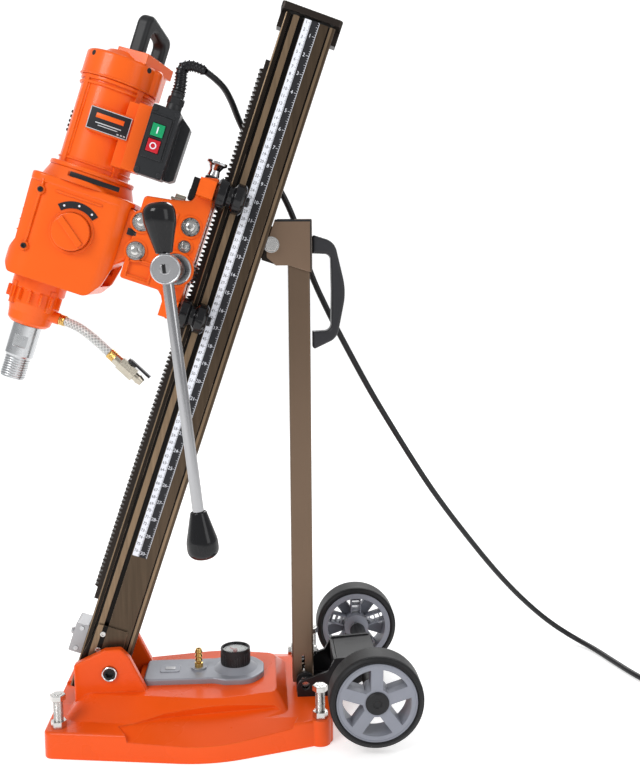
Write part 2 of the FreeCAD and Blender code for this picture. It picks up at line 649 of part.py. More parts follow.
BOLTS = [(-142, 604.5, 12.0), (-138.5, 566, 12.0), (-79.5, 618.5, 12.0), (-79.5, 591.5, 8.0)]
heads = []
for x, z, washer in BOLTS:
    face = -CASTING_HALF
    heads.append(fuse(rod(washer, 2.2, (x, face - 2.2, z), Y), hexagon(washer * 1.25, washer * 0.55, (x, face - 2.0 - washer * 0.55, z), Y)))
node("carriage_bolts", group(*heads), MAST)


def involute_gear(teeth, module, width, backlash, dedendum=1.25, addendum=1.0):
    """A spur gear about Z, with a gap between teeth on +X, its flanks in five steps."""
    pitch = module * teeth / 2
    base = pitch * math.cos(math.radians(20))
    tip, root = pitch + addendum * module, pitch - dedendum * module
    start = max(base, root)

    def spread(r):
        at_pitch = math.tan(math.radians(20)) - math.radians(20)
        turn = math.acos(base / r) if r > base else 0.0
        return math.pi / 2 / teeth - backlash / 2 / pitch + at_pitch - (math.tan(turn) - turn)

    steps = [start + (tip - start) * k / 4 for k in range(5)]
    points = []
    for tooth in range(teeth):
        middle = 2 * math.pi * (tooth + 0.5) / teeth
        side = [(root, spread(start))] * (root < start - 1e-6) + [(r, spread(r)) for r in steps]
        for r, half in side:
            points.append(Vector(r * math.cos(middle - half), r * math.sin(middle - half), 0))
        for r, half in reversed(side):
            points.append(Vector(r * math.cos(middle + half), r * math.sin(middle + half), 0))
    return Part.Face(Part.makePolygon(points + points[:1])).extrude(Z * width)


# The feed shaft runs across the carriage: its pinion meets the rack, and its hub holds the feed bar.
HUB_Y = size("hub_y")
hub_spot = Placement(MAST.multVec(Vector(PINION_X, HUB_Y, PINION_Z)), Rotation(Y, -size("bar_lean")))


def feed_shaft():
    pinion = shaped(involute_gear(int(size("pinion_teeth")), size("gear_module"), 20.0, 0.25))
    pinion.Placement = MAST * Placement(Vector(PINION_X, 10, PINION_Z), Rotation(X, 90))
    shaft = moved(rod(13.5, 56.0 - (HUB_Y + 15), (PINION_X, HUB_Y + 15, PINION_Z), Y), MAST)
    hub = moved(rounded(rod("hub_radius", 33.0, (0, -16, 0), Y), 1.5, lambda e: e.Length > 50), hub_spot)
    face = moved(rod(6.0, 1.5, (0, -17.0, 0), Y), hub_spot)
    bore = moved(rod("bar_radius + 0.05", 60.0, (0, 0, -30)), hub_spot)
    return cut(fuse(pinion, shaft, hub, face), bore)


node("feed_shaft", feed_shaft())


def pear(up):
    """A ball-ended grip, narrow where the bar goes in."""
    length, radius = size("knob_long"), size("knob_radius")
    points = [(0, 0), (10, 0, 2), (radius - 0.5, length * 0.62, 30), (radius, length, 13), (0, length)]
    return turned(points if up else points, (0, 0, 0), Z if up else -Z)


upper = moved(pear(True), Placement(Vector(0, 0, size("hub_radius") + 0.8), Rotation()))
lower = moved(pear(False), Placement(Vector(0, 0, -size("bar_reach") + size("knob_long")), Rotation()))
bar = rod("bar_radius", "bar_reach", (0, 0, -size("bar_reach") + 24.0))
node("feed_bar", fuse(bar, upper, lower), hub_spot)

LOCK = Placement(Vector(-73.0, -30.0, 0), Rotation())
knob = turned([(0, 692.2), (8.5, 692.2), (7, 700), (10, 706), (14, 708.5), (14, 712, 1), (10, 713.5), (0, 713.5)])
node("lock_knob", fuse(moved(knob, LOCK), moved(rod(6.0, 36.0, (0, 0, 657)), LOCK)), MAST)

# ---------------------------------------------------------------- drill

MOTOR_X, SPINDLE_X = size("motor_x"), size("spindle_x")
MOUNT = [(-190, 512, 4), (-158, 541), (-149.2, 548), (-149.2, 612), (-160, 617), (-186, 613, 4)]
mount = pad(MOUNT, 84.0)
mount = rounded(mount, 5.0, lambda e: e.BoundBox.YLength < 0.1 and e.BoundBox.XMax < -157)
GEAR_LOW, GEAR_HIGH = 489.0, 617.0
BODY = [(-296, 617, 6), (-293, 532, 4), (-302, 516, 10), (-301, 500, 10), (-291, 488, 8), (-182, 488, 14),
        (-168, 508, 12), (-160, 540), (-160, 617, 4)]


def gearbox_housing():
    plan = [(-303, 56, 40), (-159.9, 56, 22), (-159.9, -56, 22), (-303, -56, 40)]
    shell = common(pad(BODY, 112.0), raised(plan[::-1], 480, 620))
    collar = raised([(-297.5, 57, 26), (-158.5, 57, 26), (-158.5, -57, 26), (-297.5, -57, 26)][::-1], 613, 625)
    collar = rounded(collar, 3.0, lambda e: e.BoundBox.ZLength < 0.1)
    neck = taper(63.0, 56.0, 17.0, (MOTOR_X, 0, 624))
    room = raised([(-289, 49, 20), (-166, 49, 20), (-166, -49, 20), (-289, -49, 20)][::-1], 520, 609)
    well = rod(40.0, 40.0, (SPINDLE_X, 0, 495))
    out = rod(24.2, 30.0, (SPINDLE_X, 0, 475))
    shaft_hole = rod(14.05, 60.0, (MOTOR_X, 0, 600))
    vents = block(70.0, 12.0, 6.0, (MOTOR_X + 16, -60, 631))
    far_vents = block(70.0, 12.0, 6.0, (MOTOR_X + 16, 60, 631))
    whole = cut(fuse(shell, collar, neck), room, well, out, shaft_hole, vents, far_vents)
    dial_seat = rod(9.05, 20.0, (-223, -60, 563), Y)
    return cut(whole, mount_space(), dial_seat)


def mount_space():
    """Where the mount plate grips the gearbox."""
    return pad([(-190.3, 505), (-149, 505), (-149, 618), (-190.3, 618)], 84.4)


node("gearbox_housing", gearbox_housing(), MAST)
node("motor_mount", mount, MAST)

NOSE = [(24.3, 487.5), (36, 487.5), (36, 472, 2), (34, 470), (34, 452, 4), (30.5, 440, 2), (29, 428, 3), (24, 423.5),
        (19.4, 423.5), (19.4, 427.5), (24.3, 427.5)]
nose = turned(NOSE, (SPINDLE_X, 0, 0))
ribs = []
for i in range(4):
    rib = block(6.0, 8.0, 30.0, (34, 0, 448))
    rib.Placement = Placement(Vector(SPINDLE_X, 0, 0), Rotation(Z, 45 + 90 * i)) * rib.Placement
    ribs.append(rib)
port = rod(8.0, 14.0, (SPINDLE_X + 26, -8, 444), X)
nose = cut(fuse(nose, *ribs, port), rod(24.3, 60.0, (SPINDLE_X, 0, 427.5)), rod(3.0, 30.0, (SPINDLE_X + 15, -8, 444), X))
node("spindle_nose", nose, MAST)

housing = fuse(
    rod("motor_radius", 118.0, (MOTOR_X, 0, 647.5)),
    rounded(rod(57.0, 6.5, (MOTOR_X, 0, 641.2)), 2.0, lambda e: e.Length > 100),
    rounded(rod(50.5, 5.0, (MOTOR_X, 0, 760.5)), 1.5, lambda e: e.Length > 100),
    *[block(9.0, 9.0, 118.0, (MOTOR_X + 46.0 * math.cos(a), 46.0 * math.sin(a), 647.5), Rotation(Z, math.degrees(a)))
      for a in (math.radians(d) for d in (225, 315, 45, 135))],
    block(19.5, 34.0, 86.0, (-175.75, -56.0, 661.0)),
    block(30.0, 20.0, 86.0, (-186.0, -45.0, 661.0)),
)
housing = cut(housing, rod("motor_radius - motor_wall", 120.0, (MOTOR_X, 0, 652.0)), rod(14.05, 20.0, (MOTOR_X, 0, 638.0)))
node("motor_housing", housing, MAST)


def motor_cap():
    cap = fuse(
        rod(52.0, 34.0, (MOTOR_X, 0, 765.7)),
        raised([(-229, 36, 4), (-176, 26, 10), (-176, -26, 10), (-229, -36, 4)][::-1], 765.7, 799.7),
    )
    cap = rounded(cap, 5.0, lambda e: e.BoundBox.ZMin > 799.0)
    dome = fuse(taper(40.0, 30.0, 9.0, (MOTOR_X + 4, 0, 799.0)), block(46.0, 72.0, 14.0, (-206, 0, 799.0), Rotation(Z, -22)))
    hollow = rod(44.0, 26.0, (MOTOR_X, 0, 765.0))
    seat = ring(18.0, 11.05, 12.0, (MOTOR_X, 0, 780.0))
    return fuse(cut(fuse(cap, dome), hollow), seat)


node("motor_cap", motor_cap(), MAST)
loop = pad([(-35, 0), (-35, 54, 14), (35, 38, 14), (35, 0)], 20.0, "YZ_Plane")
gap = pad([(-18, -5), (-18, 35, 9), (18, 24, 9), (18, -5)], 40.0, "YZ_Plane")
handle = rounded(cut(loop, gap), 6.0, lambda e: e.BoundBox.XLength < 0.1 and e.BoundBox.ZMax > 1)
node("carry_handle", moved(handle, Placement(Vector(-206, 0, 813.0), Rotation(Z, -22))), MAST)

node("motor_stator", ring(44.2, 33.0, 66.0, (MOTOR_X, 0, 668.0)), MAST)
armature = fuse(
    rod(5.0, 212.0, (MOTOR_X, 0, 578.0)),
    rod(31.5, 60.0, (MOTOR_X, 0, 671.0)),
    rod(20.0, 20.0, (MOTOR_X, 0, 740.0)),
    rod(38.0, 5.0, (MOTOR_X, 0, 655.5)),
)
small_gear = shaped(involute_gear(12, 1.0, 14.0, 0.3, 1.0, 0.8))
small_gear.Placement = Placement(Vector(MOTOR_X, 0, 577.0), Rotation(Z, 180))
node("armature", fuse(armature, small_gear), MAST)
big_gear = shaped(involute_gear(36, 1.0, 12.0, 0.3, 1.2, 0.8))
big_gear.Placement = Placement(Vector(SPINDLE_X, 0, 578.0), Rotation(Z, 360 / 72))
spindle = fuse(
    rod(15.0, 170.0, (SPINDLE_X, 0, 422.0)),
    rod("spindle_radius", 42.4, (SPINDLE_X, 0, 380.0)),
    rod("thread_radius", 33.5, (SPINDLE_X, 0, 347.5)),
    taper(17.0, 19.0, 3.0, (SPINDLE_X, 0, 377.0)),
    big_gear,
)
flats = [block(60.0, 8.0, 16.0, (SPINDLE_X, s * 20.5, 392.0)) for s in (1, -1)]
node("spindle", cut(spindle, rod(5.0, 120.0, (SPINDLE_X, 0, 340.0)), *flats), MAST)
bearings = [
    ring(24.2, 15.05, 11.0, (SPINDLE_X, 0, 430.0)),
    ring(24.2, 15.05, 11.0, (SPINDLE_X, 0, 476.0)),
    ring(14.0, 5.05, 8.0, (MOTOR_X, 0, 640.0)),
    ring(11.0, 5.05, 8.0, (MOTOR_X, 0, 781.0)),
]
node("bearings", group(*bearings), MAST)

dial = fuse(
    rounded(rod(24.7, 8.0, (-223, -66.5, 563), Y), 1.5, lambda e: e.Length > 100 and e.BoundBox.YMin < -66),
    rod(9.0, 14.0, (-223, -60.0, 563), Y),
    moved(block(44.0, 7.0, 8.0, (0, -66.0, -4.0)), Placement(Vector(-223, 0, 563), Rotation(Y, 38))),
)
node("gear_selector", dial, MAST)

# ---------------------------------------------------------------- switch box and lead

BOX_X, BOX_Z = -148.0, 661.0


def switch_box():
    front = rounded(block("switch_wide", 34.0, "switch_long", (BOX_X, -73.0, BOX_Z)), 2.5, along(Y))
    rear = pad([(-166, 664, 3), (-166, 748, 3), (-130, 748, 3), (-117, 738, 3), (-118, 668, 3), (-124, 664, 3)], 26.0,
               at=(0, -44.0, 0))
    panel = rounded(block(27.0, 2.4, 54.0, (BOX_X - 2.5, -91.0, 683.0)), 2.0, along(Y))
    wells = [block(17.4, 8.0, 17.4, (BOX_X - 3.0, -90.0, z)) for z in (710.3, 690.3)]
    return cut(fuse(front, rear, panel), *wells)


node("switch_box", switch_box(), MAST)
for name, z in (("start_button", 711.0), ("stop_button", 691.0)):
    cap = rounded(block(16.0, 4.6, 16.0, (BOX_X - 3.0, -91.6, z)), 0.8, lambda e: e.BoundBox.YMax < -93)
    node(name, cap, MAST)

GLAND = (-143.0, -72.0)
UPPER_ROUTE = [(36, -72, 890), (54, -46, 882), (66, -10, 867), (77, 32, 841), (95, 55, 810), (118, 61, 776),
               (141, 64, 738), (160, 66, 690), (174, 67, 634), (190, 68.4, 600)]
RELIEF_END = Vector(*UPPER_ROUTE[0])


def cable_gland():
    nut = moved(fuse(rod(10.0, 10.0, (*GLAND, 750.2)), hexagon(19.0, 9.0, (*GLAND, 759.0)), rod(8.5, 10.0, (*GLAND, 767.0))), MAST)
    start = MAST.multVec(Vector(*GLAND, 770.0))
    lean = MAST.Rotation.multVec(Z)
    turn_at = Vector(10.5, -72, 896)
    first = start + lean * 14
    ahead = (Vector(*UPPER_ROUTE[1]) - RELIEF_END).normalize()
    path = Part.BSplineCurve()
    path.interpolate([start, first, turn_at, RELIEF_END], InitialTangent=lean * 20, FinalTangent=ahead * 24)
    wire = Part.Wire(path.toShape())
    circle_low = Part.Wire(Part.makeCircle(8.0, start, lean))
    circle_end = Part.Wire(Part.makeCircle(5.6, RELIEF_END, path.tangent(path.LastParameter)[0]))
    boot = wire.makePipeShell([circle_low, circle_end], True, False)
    return fuse(nut, shaped(boot))


node("cable_gland", cable_gland())

LOWER_ROUTE = [(190, 68.4, 600), (206, 69.8, 566), (234, 77, 513), (265, 86, 456), (297, 98, 403), (330, 113, 350),
               (363, 130, 299), (398, 148, 250), (434, 167, 203), (470, 184, 157), (508, 200, 112), (548, 213, 70),
               (590, 217, 33), (627, 206, 10), (650, 168, 4.8), (664, 112, 4.8), (678, 60, 4.8), (700, 22, 4.8)]
TAIL_ROUTE = [(703, -6, 4.8), (706, -36, 4.8), (722, -62, 5.5), (750, -76, 7.0)]
COIL_X, COIL_Y = 752.0, 10.0


def lead(route, radius):
    """A round lead along straight runs joined by tangent arcs."""
    points = [Vector(*p) for p in route]
    edges, here, radii = [], points[0], []
    for before, corner, after in zip(points, points[1:], points[2:]):
        back, ahead = (before - corner), (after - corner)
        reach = 0.45 * min(back.Length, ahead.Length)
        half = back.getAngle(ahead) / 2
        radii.append(reach * math.tan(half))
        start, end = corner + back.normalize() * reach, corner + ahead.normalize() * reach
        middle = corner + (back + ahead).normalize() * (reach / math.cos(half) - radii[-1])
        edges.append(Part.LineSegment(here, start).toShape())
        edges.append(Part.Arc(start, middle, end).toShape())
        here = end
    edges.append(Part.LineSegment(here, points[-1]).toShape())
    wire = Part.Wire(edges)
    section = Part.Wire(Part.makeCircle(radius, points[0], points[1] - points[0]))
    tube = wire.makePipeShell([section], True, False)
    share = tube.Volume / (wire.Length * math.pi * radius**2)
    print(f"lead {wire.Length:.0f} mm, smallest radius {min(radii):.0f} mm, volume share {share:.3f}")
    return shaped(tube)


CORD = size("cord_radius")
node("power_cord_upper", lead(UPPER_ROUTE, CORD))
node("power_cord_lower", group(lead(LOWER_ROUTE, CORD), lead(TAIL_ROUTE, CORD)))
coil = [(-11, 0), (-11, 19, 6), (11, 19, 6), (11, 0)]
node("cord_coil", turned([(size("coil_radius") + r[0], *r[1:]) for r in coil], (COIL_X, COIL_Y, 0)))
plug = fuse(
    taper(6.0, 14.0, 22.0, (750, -76, 14.3), X),
    rounded(rod(14.2, 26.0, (771, -76, 14.3), X), 2.0, lambda e: e.Length > 60),
    *[block(18.0, 1.6, 6.4, (805, -76 + s * 6.3, 14.3)) for s in (1, -1)],
    rod(2.4, 20.0, (796, -76, 9.0), X),
)
node("cord_plug", plug)

# ---------------------------------------------------------------- water hose and valve

HOSE_Y = -34.0
HOSE_ROUTE = [(SPINDLE_X + 40.0, -8, 444), (-196, -14, 444), (-178, -24, 442), (-160, -31, 436.5), (-142, HOSE_Y, 428.5), (-124, HOSE_Y, 420)]
hose = lead([tuple(MAST.multVec(Vector(*p))) for p in HOSE_ROUTE], size("hose_radius"))
node("water_hose", hose)
end = Vector(-124, HOSE_Y, 420)
aim = (end - Vector(*HOSE_ROUTE[-2])).normalize()


def water_valve():
    body = fuse(
        rod(7.6, 10.0, (0, 0, 0)),
        moved(hexagon(17.0, 26.0, (0, 0, 9.0)), Placement(Vector(), Rotation(Z, 30))),
        rod(6.0, 8.0, (0, 0, 34.0)),
        taper(7.0, 5.0, 8.0, (0, 0, 41.0)),
    )
    stem = rod(2.95, 11.2, (0, 0, 22.0), X)
    return cut(fuse(body, stem), rod(3.0, 60.0, (0, 0, -1)))


VALVE = MAST * Placement(end, Rotation(Z, aim) * Rotation(Z, 180))
node("water_valve", water_valve(), VALVE)
FLIP = Placement(Vector(0, 0, 22.0), Rotation())
lever = fuse(rod(7.0, 4.0, (9.3, 0, 0), X), block(3.0, 10.0, 34.0, (12.5, 0, -4.0)))
node("valve_lever", cut(lever, rod(3.0, 3.0, (8.5, 0, 0), X)), VALVE * FLIP)

# ---------------------------------------------------------------- checks and files

doc.recompute()
failed = [o.Label for o in doc.Objects if "Invalid" in o.State or "Error" in o.State]
for thing in ALL_PARTS:
    if thing.Shape.isNull() or not thing.Shape.isValid() or not thing.Shape.Solids:
        failed.append(thing.Label)
if failed:
    raise SystemExit(f"these failed: {failed}")
os.makedirs("parts", exist_ok=True)
for thing in ALL_PARTS:
    thing.Shape.exportStep(os.path.join("parts", thing.Label + ".step"))
print(len(ALL_PARTS), "sub-parts")
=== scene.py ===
import json
import math

import bmesh
import bpy
from mathutils import Matrix, Vector


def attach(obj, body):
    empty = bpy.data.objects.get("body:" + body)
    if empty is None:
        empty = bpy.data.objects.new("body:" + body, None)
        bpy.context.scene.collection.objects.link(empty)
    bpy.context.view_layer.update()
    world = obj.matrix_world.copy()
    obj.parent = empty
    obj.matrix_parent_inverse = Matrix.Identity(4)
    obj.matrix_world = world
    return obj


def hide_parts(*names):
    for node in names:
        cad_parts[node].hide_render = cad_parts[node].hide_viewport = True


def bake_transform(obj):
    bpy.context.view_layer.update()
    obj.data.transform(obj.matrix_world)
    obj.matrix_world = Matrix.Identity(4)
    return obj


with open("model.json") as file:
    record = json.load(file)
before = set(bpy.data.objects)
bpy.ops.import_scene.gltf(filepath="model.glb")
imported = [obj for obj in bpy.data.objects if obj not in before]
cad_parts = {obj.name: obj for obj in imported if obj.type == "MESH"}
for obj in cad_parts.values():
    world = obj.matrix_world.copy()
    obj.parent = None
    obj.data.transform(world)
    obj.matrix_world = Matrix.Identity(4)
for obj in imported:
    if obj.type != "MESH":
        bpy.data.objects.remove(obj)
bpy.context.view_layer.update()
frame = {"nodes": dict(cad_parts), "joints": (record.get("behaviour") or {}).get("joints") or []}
NODES = frame["nodes"]
JOINTS = {joint["name"]: joint for joint in frame["joints"]}
SCENE = bpy.context.scene
MM = 0.001
X, Y, Z = Vector((1, 0, 0)), Vector((0, 1, 0)), Vector((0, 0, 1))

# The mast's own frame: its origin on the pivot, X to the rear of the mast and Z up it.
PIVOT = Vector(JOINTS["mast_tilt"]["pos_m"])
UP = Vector(JOINTS["carriage_feed"]["axis"]).normalized()
REAR = Vector((UP.z, 0, -UP.x))
MAST = Matrix(((REAR.x, 0, UP.x, PIVOT.x), (0, 1, 0, 0), (REAR.z, 0, UP.z, PIVOT.z), (0, 0, 0, 1)))
FLAT = Matrix.Identity(4)


# ---------------------------------------------------------------- camera and light

def make_camera():
    """A long lens a little above the middle of the rig, on the side of the feed lever."""
    at = (0.1017, -1.3215, 0.6363)
    turn, down, roll = 0.0622, 0.1187, -0.0077
    ahead = Vector((math.sin(turn) * math.cos(down), math.cos(turn) * math.cos(down), -math.sin(down)))
    level = Vector((math.cos(turn), -math.sin(turn), 0))
    above = level.cross(ahead)
    right = level * math.cos(roll) + above * math.sin(roll)
    top = above * math.cos(roll) - level * math.sin(roll)
    camera = bpy.data.objects.new("camera", bpy.data.cameras.new("camera"))
    camera.data.lens = 44.37
    camera.data.sensor_width = 36.0
    camera.data.clip_end = 60.0
    camera.matrix_world = Matrix((
        (right.x, top.x, -ahead.x, at[0]), (right.y, top.y, -ahead.y, at[1]),
        (right.z, top.z, -ahead.z, at[2]), (0, 0, 0, 1)))
    SCENE.collection.objects.link(camera)
    SCENE.camera = camera


def area_light(name, at, towards, width, height, power):
    """A rectangular lamp that faces a point."""
    lamp = bpy.data.lights.new(name, "AREA")
    lamp.shape = "RECTANGLE"
    lamp.size, lamp.size_y, lamp.energy = width, height, power
    obj = bpy.data.objects.new(name, lamp)
    obj.location = at
    obj.rotation_euler = (Vector(towards) - Vector(at)).to_track_quat("-Z", "Y").to_euler()
    SCENE.collection.objects.link(obj)


def sweep_floor():
    """A floor that bends up into a wall behind the rig."""
    side, front, back, bend, top, bend_steps = 7.0, -5.0, 4.0, 2.2, 7.0, 16
    profile = [(front, 0.0), (back, 0.0)]
    profile += [(back + bend * math.sin(a), bend * (1 - math.cos(a))) for a in
                [math.pi / 2 * k / bend_steps for k in range(1, bend_steps + 1)]]
    profile += [(back + bend, top)]
    sweep = bmesh.new()
    rows = [[sweep.verts.new((x, y, z)) for x in (-side, side)] for y, z in profile]
    for low, high in zip(rows, rows[1:]):
        sweep.faces.new((low[0], low[1], high[1], high[0]))
    mesh = bpy.data.meshes.new("floor")
    sweep.to_mesh(mesh)
    sweep.free()
    mesh.shade_smooth()
    floor = bpy.data.objects.new("floor", mesh)
    SCENE.collection.objects.link(floor)
    paint = bpy.data.materials.new("floor")
    paint.use_nodes = True
    shader = paint.node_tree.nodes["Principled BSDF"]
    shader.inputs["Base Color"].default_value = (0.86, 0.86, 0.855, 1)
    shader.inputs["Roughness"].default_value = 0.9
    shader.inputs["Specular IOR Level"].default_value = 0.1
    shader.inputs["Emission Color"].default_value = (1, 1, 1, 1)
    shader.inputs["Emission Strength"].default_value = 0.46
    mesh.materials.append(paint)


def studio():
    """A pale sky, three soft lamps and the floor."""
    SCENE.view_settings.view_transform = "Standard"
    world = bpy.data.worlds.new("studio")
    SCENE.world = world
    world.use_nodes = True
    sky = world.node_tree.nodes["Background"]
    sky.inputs["Color"].default_value = (0.97, 0.98, 1.0, 1)
    sky.inputs["Strength"].default_value = 0.50
    area_light("key", (-1.9, -2.2, 2.6), (0, 0, 0.45), 1.5, 1.5, 62)
    area_light("fill", (2.3, -1.9, 1.5), (0.1, 0, 0.4), 1.3, 1.9, 16)
    area_light("rim", (0.9, 2.4, 2.3), (0, 0, 0.5), 1.6, 1.2, 34)
    sweep_floor()


make_camera()
studio()


# ---------------------------------------------------------------- materials

class Shading:
    """The nodes of one material, with short ways to add to them."""

    def __init__(self, name, colour):
        self.material = bpy.data.materials.new(name)
        self.material.use_nodes = True
        self.material.diffuse_color = (*colour, 1)
        self.tree = self.material.node_tree
        self.shader = self.tree.nodes["Principled BSDF"]
        self.place = self.add("ShaderNodeTexCoord").outputs["Object"]

    def add(self, kind, **values):
        """A node with its settings, and with the values of its inputs."""
        node = self.tree.nodes.new(kind)
        for key, value in values.items():
            if hasattr(node, key):
                setattr(node, key, value)
            else:
                node.inputs[key.replace("_", " ")].default_value = value
        return node

    def give(self, value, socket):
        """Link an output to a socket, or set the socket to a number or a colour."""
        if isinstance(value, tuple):
            socket.default_value = (*value, 1)
        elif isinstance(value, (int, float)):
            socket.default_value = value
        else:
            self.tree.links.new(value, socket)

    def number(self, operation, first, second):
        node = self.add("ShaderNodeMath", operation=operation)
        self.give(first, node.inputs[0])
        self.give(second, node.inputs[1])
        return node.outputs[0]

    def mixed(self, share, first, second):
        """One colour, or another by its share."""
        node = self.add("ShaderNodeMix", data_type="RGBA")
        for value, socket in ((share, 0), (first, 6), (second, 7)):
            self.give(value, node.inputs[socket])
        return node.outputs[2]

    def shared(self, share, first, second):
        """One number, or another by its share."""
        return self.number("ADD", self.number("MULTIPLY", first, self.number("SUBTRACT", 1.0, share)),
                           self.number("MULTIPLY", share, second))

    def along(self, direction):
        """Distance from the world origin along a direction."""
        node = self.add("ShaderNodeVectorMath", operation="DOT_PRODUCT")
        self.give(self.place, node.inputs[0])
        node.inputs[1].default_value = direction
        return node.outputs["Value"]

    def noise(self, scale, detail, streak=None):
        """A noise across the surface, stretched by the three factors of `streak`."""
        node = self.add("ShaderNodeTexNoise", Scale=scale, Detail=detail)
        place = self.place
        if streak:
            stretch = self.add("ShaderNodeMapping", Scale=streak)
            self.give(place, stretch.inputs["Vector"])
            place = stretch.outputs[0]
        self.give(place, node.inputs["Vector"])
        return node.outputs["Fac"]

    def banded(self, bands, fine, tint):
        """Stripes of colour behind the mast's pivot line, varied by the grain."""
        low, high = bands[0][0], bands[-1][0]
        ramp = self.add("ShaderNodeValToRGB")
        ramp.color_ramp.interpolation = "CONSTANT"
        behind = self.number("SUBTRACT", self.along(REAR), PIVOT.dot(REAR) + low)
        self.give(self.number("DIVIDE", behind, high - low), ramp.inputs[0])
        stops = ramp.color_ramp.elements
        for k, (distance, colour) in enumerate(bands[:-1]):
            stop = stops[k] if k < 2 else stops.new(1.0)
            stop.position = (distance - low) / (high - low)
            stop.color = (*colour, 1)
        shade = self.add("ShaderNodeMapRange", From_Min=0.3, From_Max=0.7, To_Min=1 - tint, To_Max=1 + tint)
        self.give(fine, shade.inputs["Value"])
        tone = self.add("ShaderNodeMix", data_type="RGBA", blend_type="MULTIPLY")
        for value, socket in ((1.0, 0), (ramp.outputs[0], 6), (shade.outputs[0], 7)):
            self.give(value, tone.inputs[socket])
        return tone.outputs[2]

    def chipped(self, rounded, patches, wear):
        """Where the colour has worn off: patches of the edges, which their rounded normals show."""
        facing = self.add("ShaderNodeVectorMath", operation="DOT_PRODUCT")
        self.give(rounded, facing.inputs[0])
        self.give(self.add("ShaderNodeNewGeometry").outputs["Normal"], facing.inputs[1])
        corner = self.add("ShaderNodeMapRange", From_Min=0.995, From_Max=0.9, To_Min=0.0, To_Max=wear)
        self.give(facing.outputs["Value"], corner.inputs["Value"])
        return self.number("MULTIPLY", corner.outputs[0], self.number("GREATER_THAN", patches, 0.5))


def finish(name, colour, rough, metal=0.0, coat=0.0, tint=0.08, patch=28.0, grain=900.0, bump=0.05,
           uneven=0.05, edge=0.0008, worn=None, wear=0.0, zones=(), streak=None, bands=None, shine=0.3,
           clear=0.0):
    """A procedural finish in metres. Grain and patches are noises across the surface. Edges are rounded by
    `edge`, and take the colour `worn` by `wear`. A zone is (direction, from, to, colour, roughness, metal),
    and covers what lies between two distances along its direction. Bands are (distance, colour) pairs along
    `REAR`. `shine` is the specular level and `clear` the share of light that goes through."""
    paint = Shading(name, colour)
    number, shader = paint.number, paint.shader
    patches = paint.noise(patch, 3.0)
    fine = paint.noise(grain, 2.0, streak)
    dark = tuple(c * (1 - tint) for c in colour)
    light = tuple(min(1.0, c * (1 + tint) + 0.01 * tint) for c in colour)
    shown = paint.banded(bands, fine, tint) if bands else paint.mixed(patches, dark, light)
    gloss = number("ADD", number("MULTIPLY", number("SUBTRACT", patches, 0.5), 2 * uneven), rough)
    for direction, start, end, zone_colour, smooth, metalness in zones:
        reach = paint.along(direction)
        inside = number("MULTIPLY", number("GREATER_THAN", reach, start), number("LESS_THAN", reach, end))
        shown = paint.mixed(inside, shown, zone_colour)
        gloss = paint.shared(inside, gloss, smooth)
        metal = paint.shared(inside, metal, metalness)
    rounded = paint.add("ShaderNodeBevel", samples=4, Radius=edge).outputs[0]
    if worn:
        shown = paint.mixed(paint.chipped(rounded, patches, wear), shown, worn)
    relief = paint.add("ShaderNodeBump", Strength=bump, Distance=0.001)
    paint.give(fine, relief.inputs["Height"])
    paint.give(rounded, relief.inputs["Normal"])
    paint.give(relief.outputs[0], shader.inputs["Normal"])
    for value, socket in ((shown, "Base Color"), (gloss, "Roughness"), (metal, "Metallic")):
        paint.give(value, shader.inputs[socket])
    shader.inputs["Coat Weight"].default_value = coat
    shader.inputs["Coat Roughness"].default_value = 0.06
    shader.inputs["Specular IOR Level"].default_value = shine
    shader.inputs["Transmission Weight"].default_value = clear
    return paint.material


